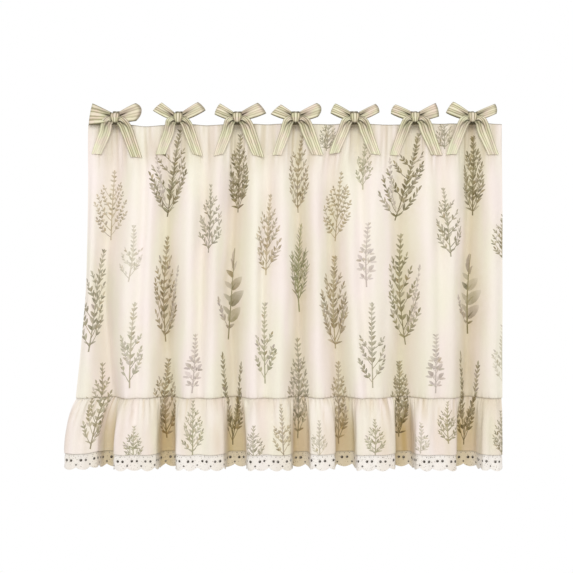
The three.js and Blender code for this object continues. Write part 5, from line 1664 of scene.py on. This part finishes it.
def floor_material():
    n = Nodes("floor_paint")
    co = n.t.nodes.new("ShaderNodeTexCoord").outputs["Object"]
    colour = n.blend(n.ranged(n.noise(co, 3.0, 3.0), 0.3, 0.7, 0.0, 1.0), (*rgb(238, 236, 231), 1), (*rgb(244, 242, 238), 1))
    n.put(n.b.inputs["Base Color"], colour)
    n.b.inputs["Roughness"].default_value = 0.85
    n.put(n.b.inputs["Normal"], n.bump(n.noise(co, 180.0, 3.0), 0.0005, 0.15))
    return n.m

# ---------------------------------------------------------------- the object

panel, count_panel = make_panel()
ruffle, count_ruffle = make_ruffle()
lace, count_lace = make_lace()
ties = [make_tie(i, row) for i, row in enumerate(TIES)]

printed = cotton("printed_cotton", rgb(255, 250, 245), rgb(250, 248, 231), rgb(255, 244, 242), rgb(214, 200, 180), 0.00035, True)
eyelet = cotton("eyelet_cotton", rgb(255, 252, 248), rgb(254, 252, 246), rgb(255, 250, 247), rgb(190, 180, 162), 0.00030, False)
ribbon = ribbon_material()
panel.data.materials.append(printed)
ruffle.data.materials.append(printed)
lace.data.materials.append(eyelet)
for t in ties:
    t.data.materials.append(ribbon)

for piece in [panel, ruffle, lace] + ties:
    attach(piece, "root")
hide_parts("panel")
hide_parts("ruffle")
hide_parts("lace_trim")
for t, row in zip(ties, TIES):
    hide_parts(row[0])

# ---------------------------------------------------------------- floor, light and camera

bpy.ops.mesh.primitive_plane_add(size=1.0, location=(0.0, 0.0, -1.16))
floor = bpy.context.object
floor.name = "floor"
floor.scale = (3.2, 2.0, 1.0)
floor.data.materials.append(floor_material())

world = bpy.data.worlds.new("studio")
bpy.context.scene.world = world
world.use_nodes = True
wt = world.node_tree
wt.nodes.clear()
w_out = wt.nodes.new("ShaderNodeOutputWorld")
w_mix = wt.nodes.new("ShaderNodeMixShader")
w_path = wt.nodes.new("ShaderNodeLightPath")
w_room = wt.nodes.new("ShaderNodeBackground")
w_white = wt.nodes.new("ShaderNodeBackground")
w_room.inputs["Color"].default_value = (1.0, 0.972, 0.95, 1)
w_room.inputs["Strength"].default_value = 0.66
w_white.inputs["Color"].default_value = (1, 1, 1, 1)
w_white.inputs["Strength"].default_value = 1.0
wt.links.new(w_path.outputs["Is Camera Ray"], w_mix.inputs[0])
wt.links.new(w_room.outputs[0], w_mix.inputs[1])
wt.links.new(w_white.outputs[0], w_mix.inputs[2])
wt.links.new(w_mix.outputs[0], w_out.inputs[0])

def area_light(name, place, aim, size, power, colour):
    light = bpy.data.lights.new(name, "AREA")
    light.shape, light.size, light.energy, light.color = "SQUARE", size, power, colour
    o = bpy.data.objects.new(name, light)
    o.location = place
    o.rotation_euler = (Vector(aim) - Vector(place)).to_track_quat("-Z", "Y").to_euler()
    bpy.context.scene.collection.objects.link(o)
    return o

area_light("key", (-0.02, -2.38, 0.70), (0.0, 0.0, -0.27), 1.2, 28.5, (1.0, 1.0, 1.0))

cam_data = bpy.data.cameras.new("camera")
cam = bpy.data.objects.new("camera", cam_data)
bpy.context.scene.collection.objects.link(cam)
cam.location = (-0.015, -1.608, -0.287)
cam.rotation_euler = (math.radians(90), 0, 0)
cam_data.sensor_width = 36.0
cam_data.lens = 57.18
cam_data.clip_start = 0.05
bpy.context.scene.camera = cam
bpy.context.scene.view_settings.view_transform = "Standard"
bpy.context.scene.view_settings.look = "None"

bpy.context.view_layer.update()
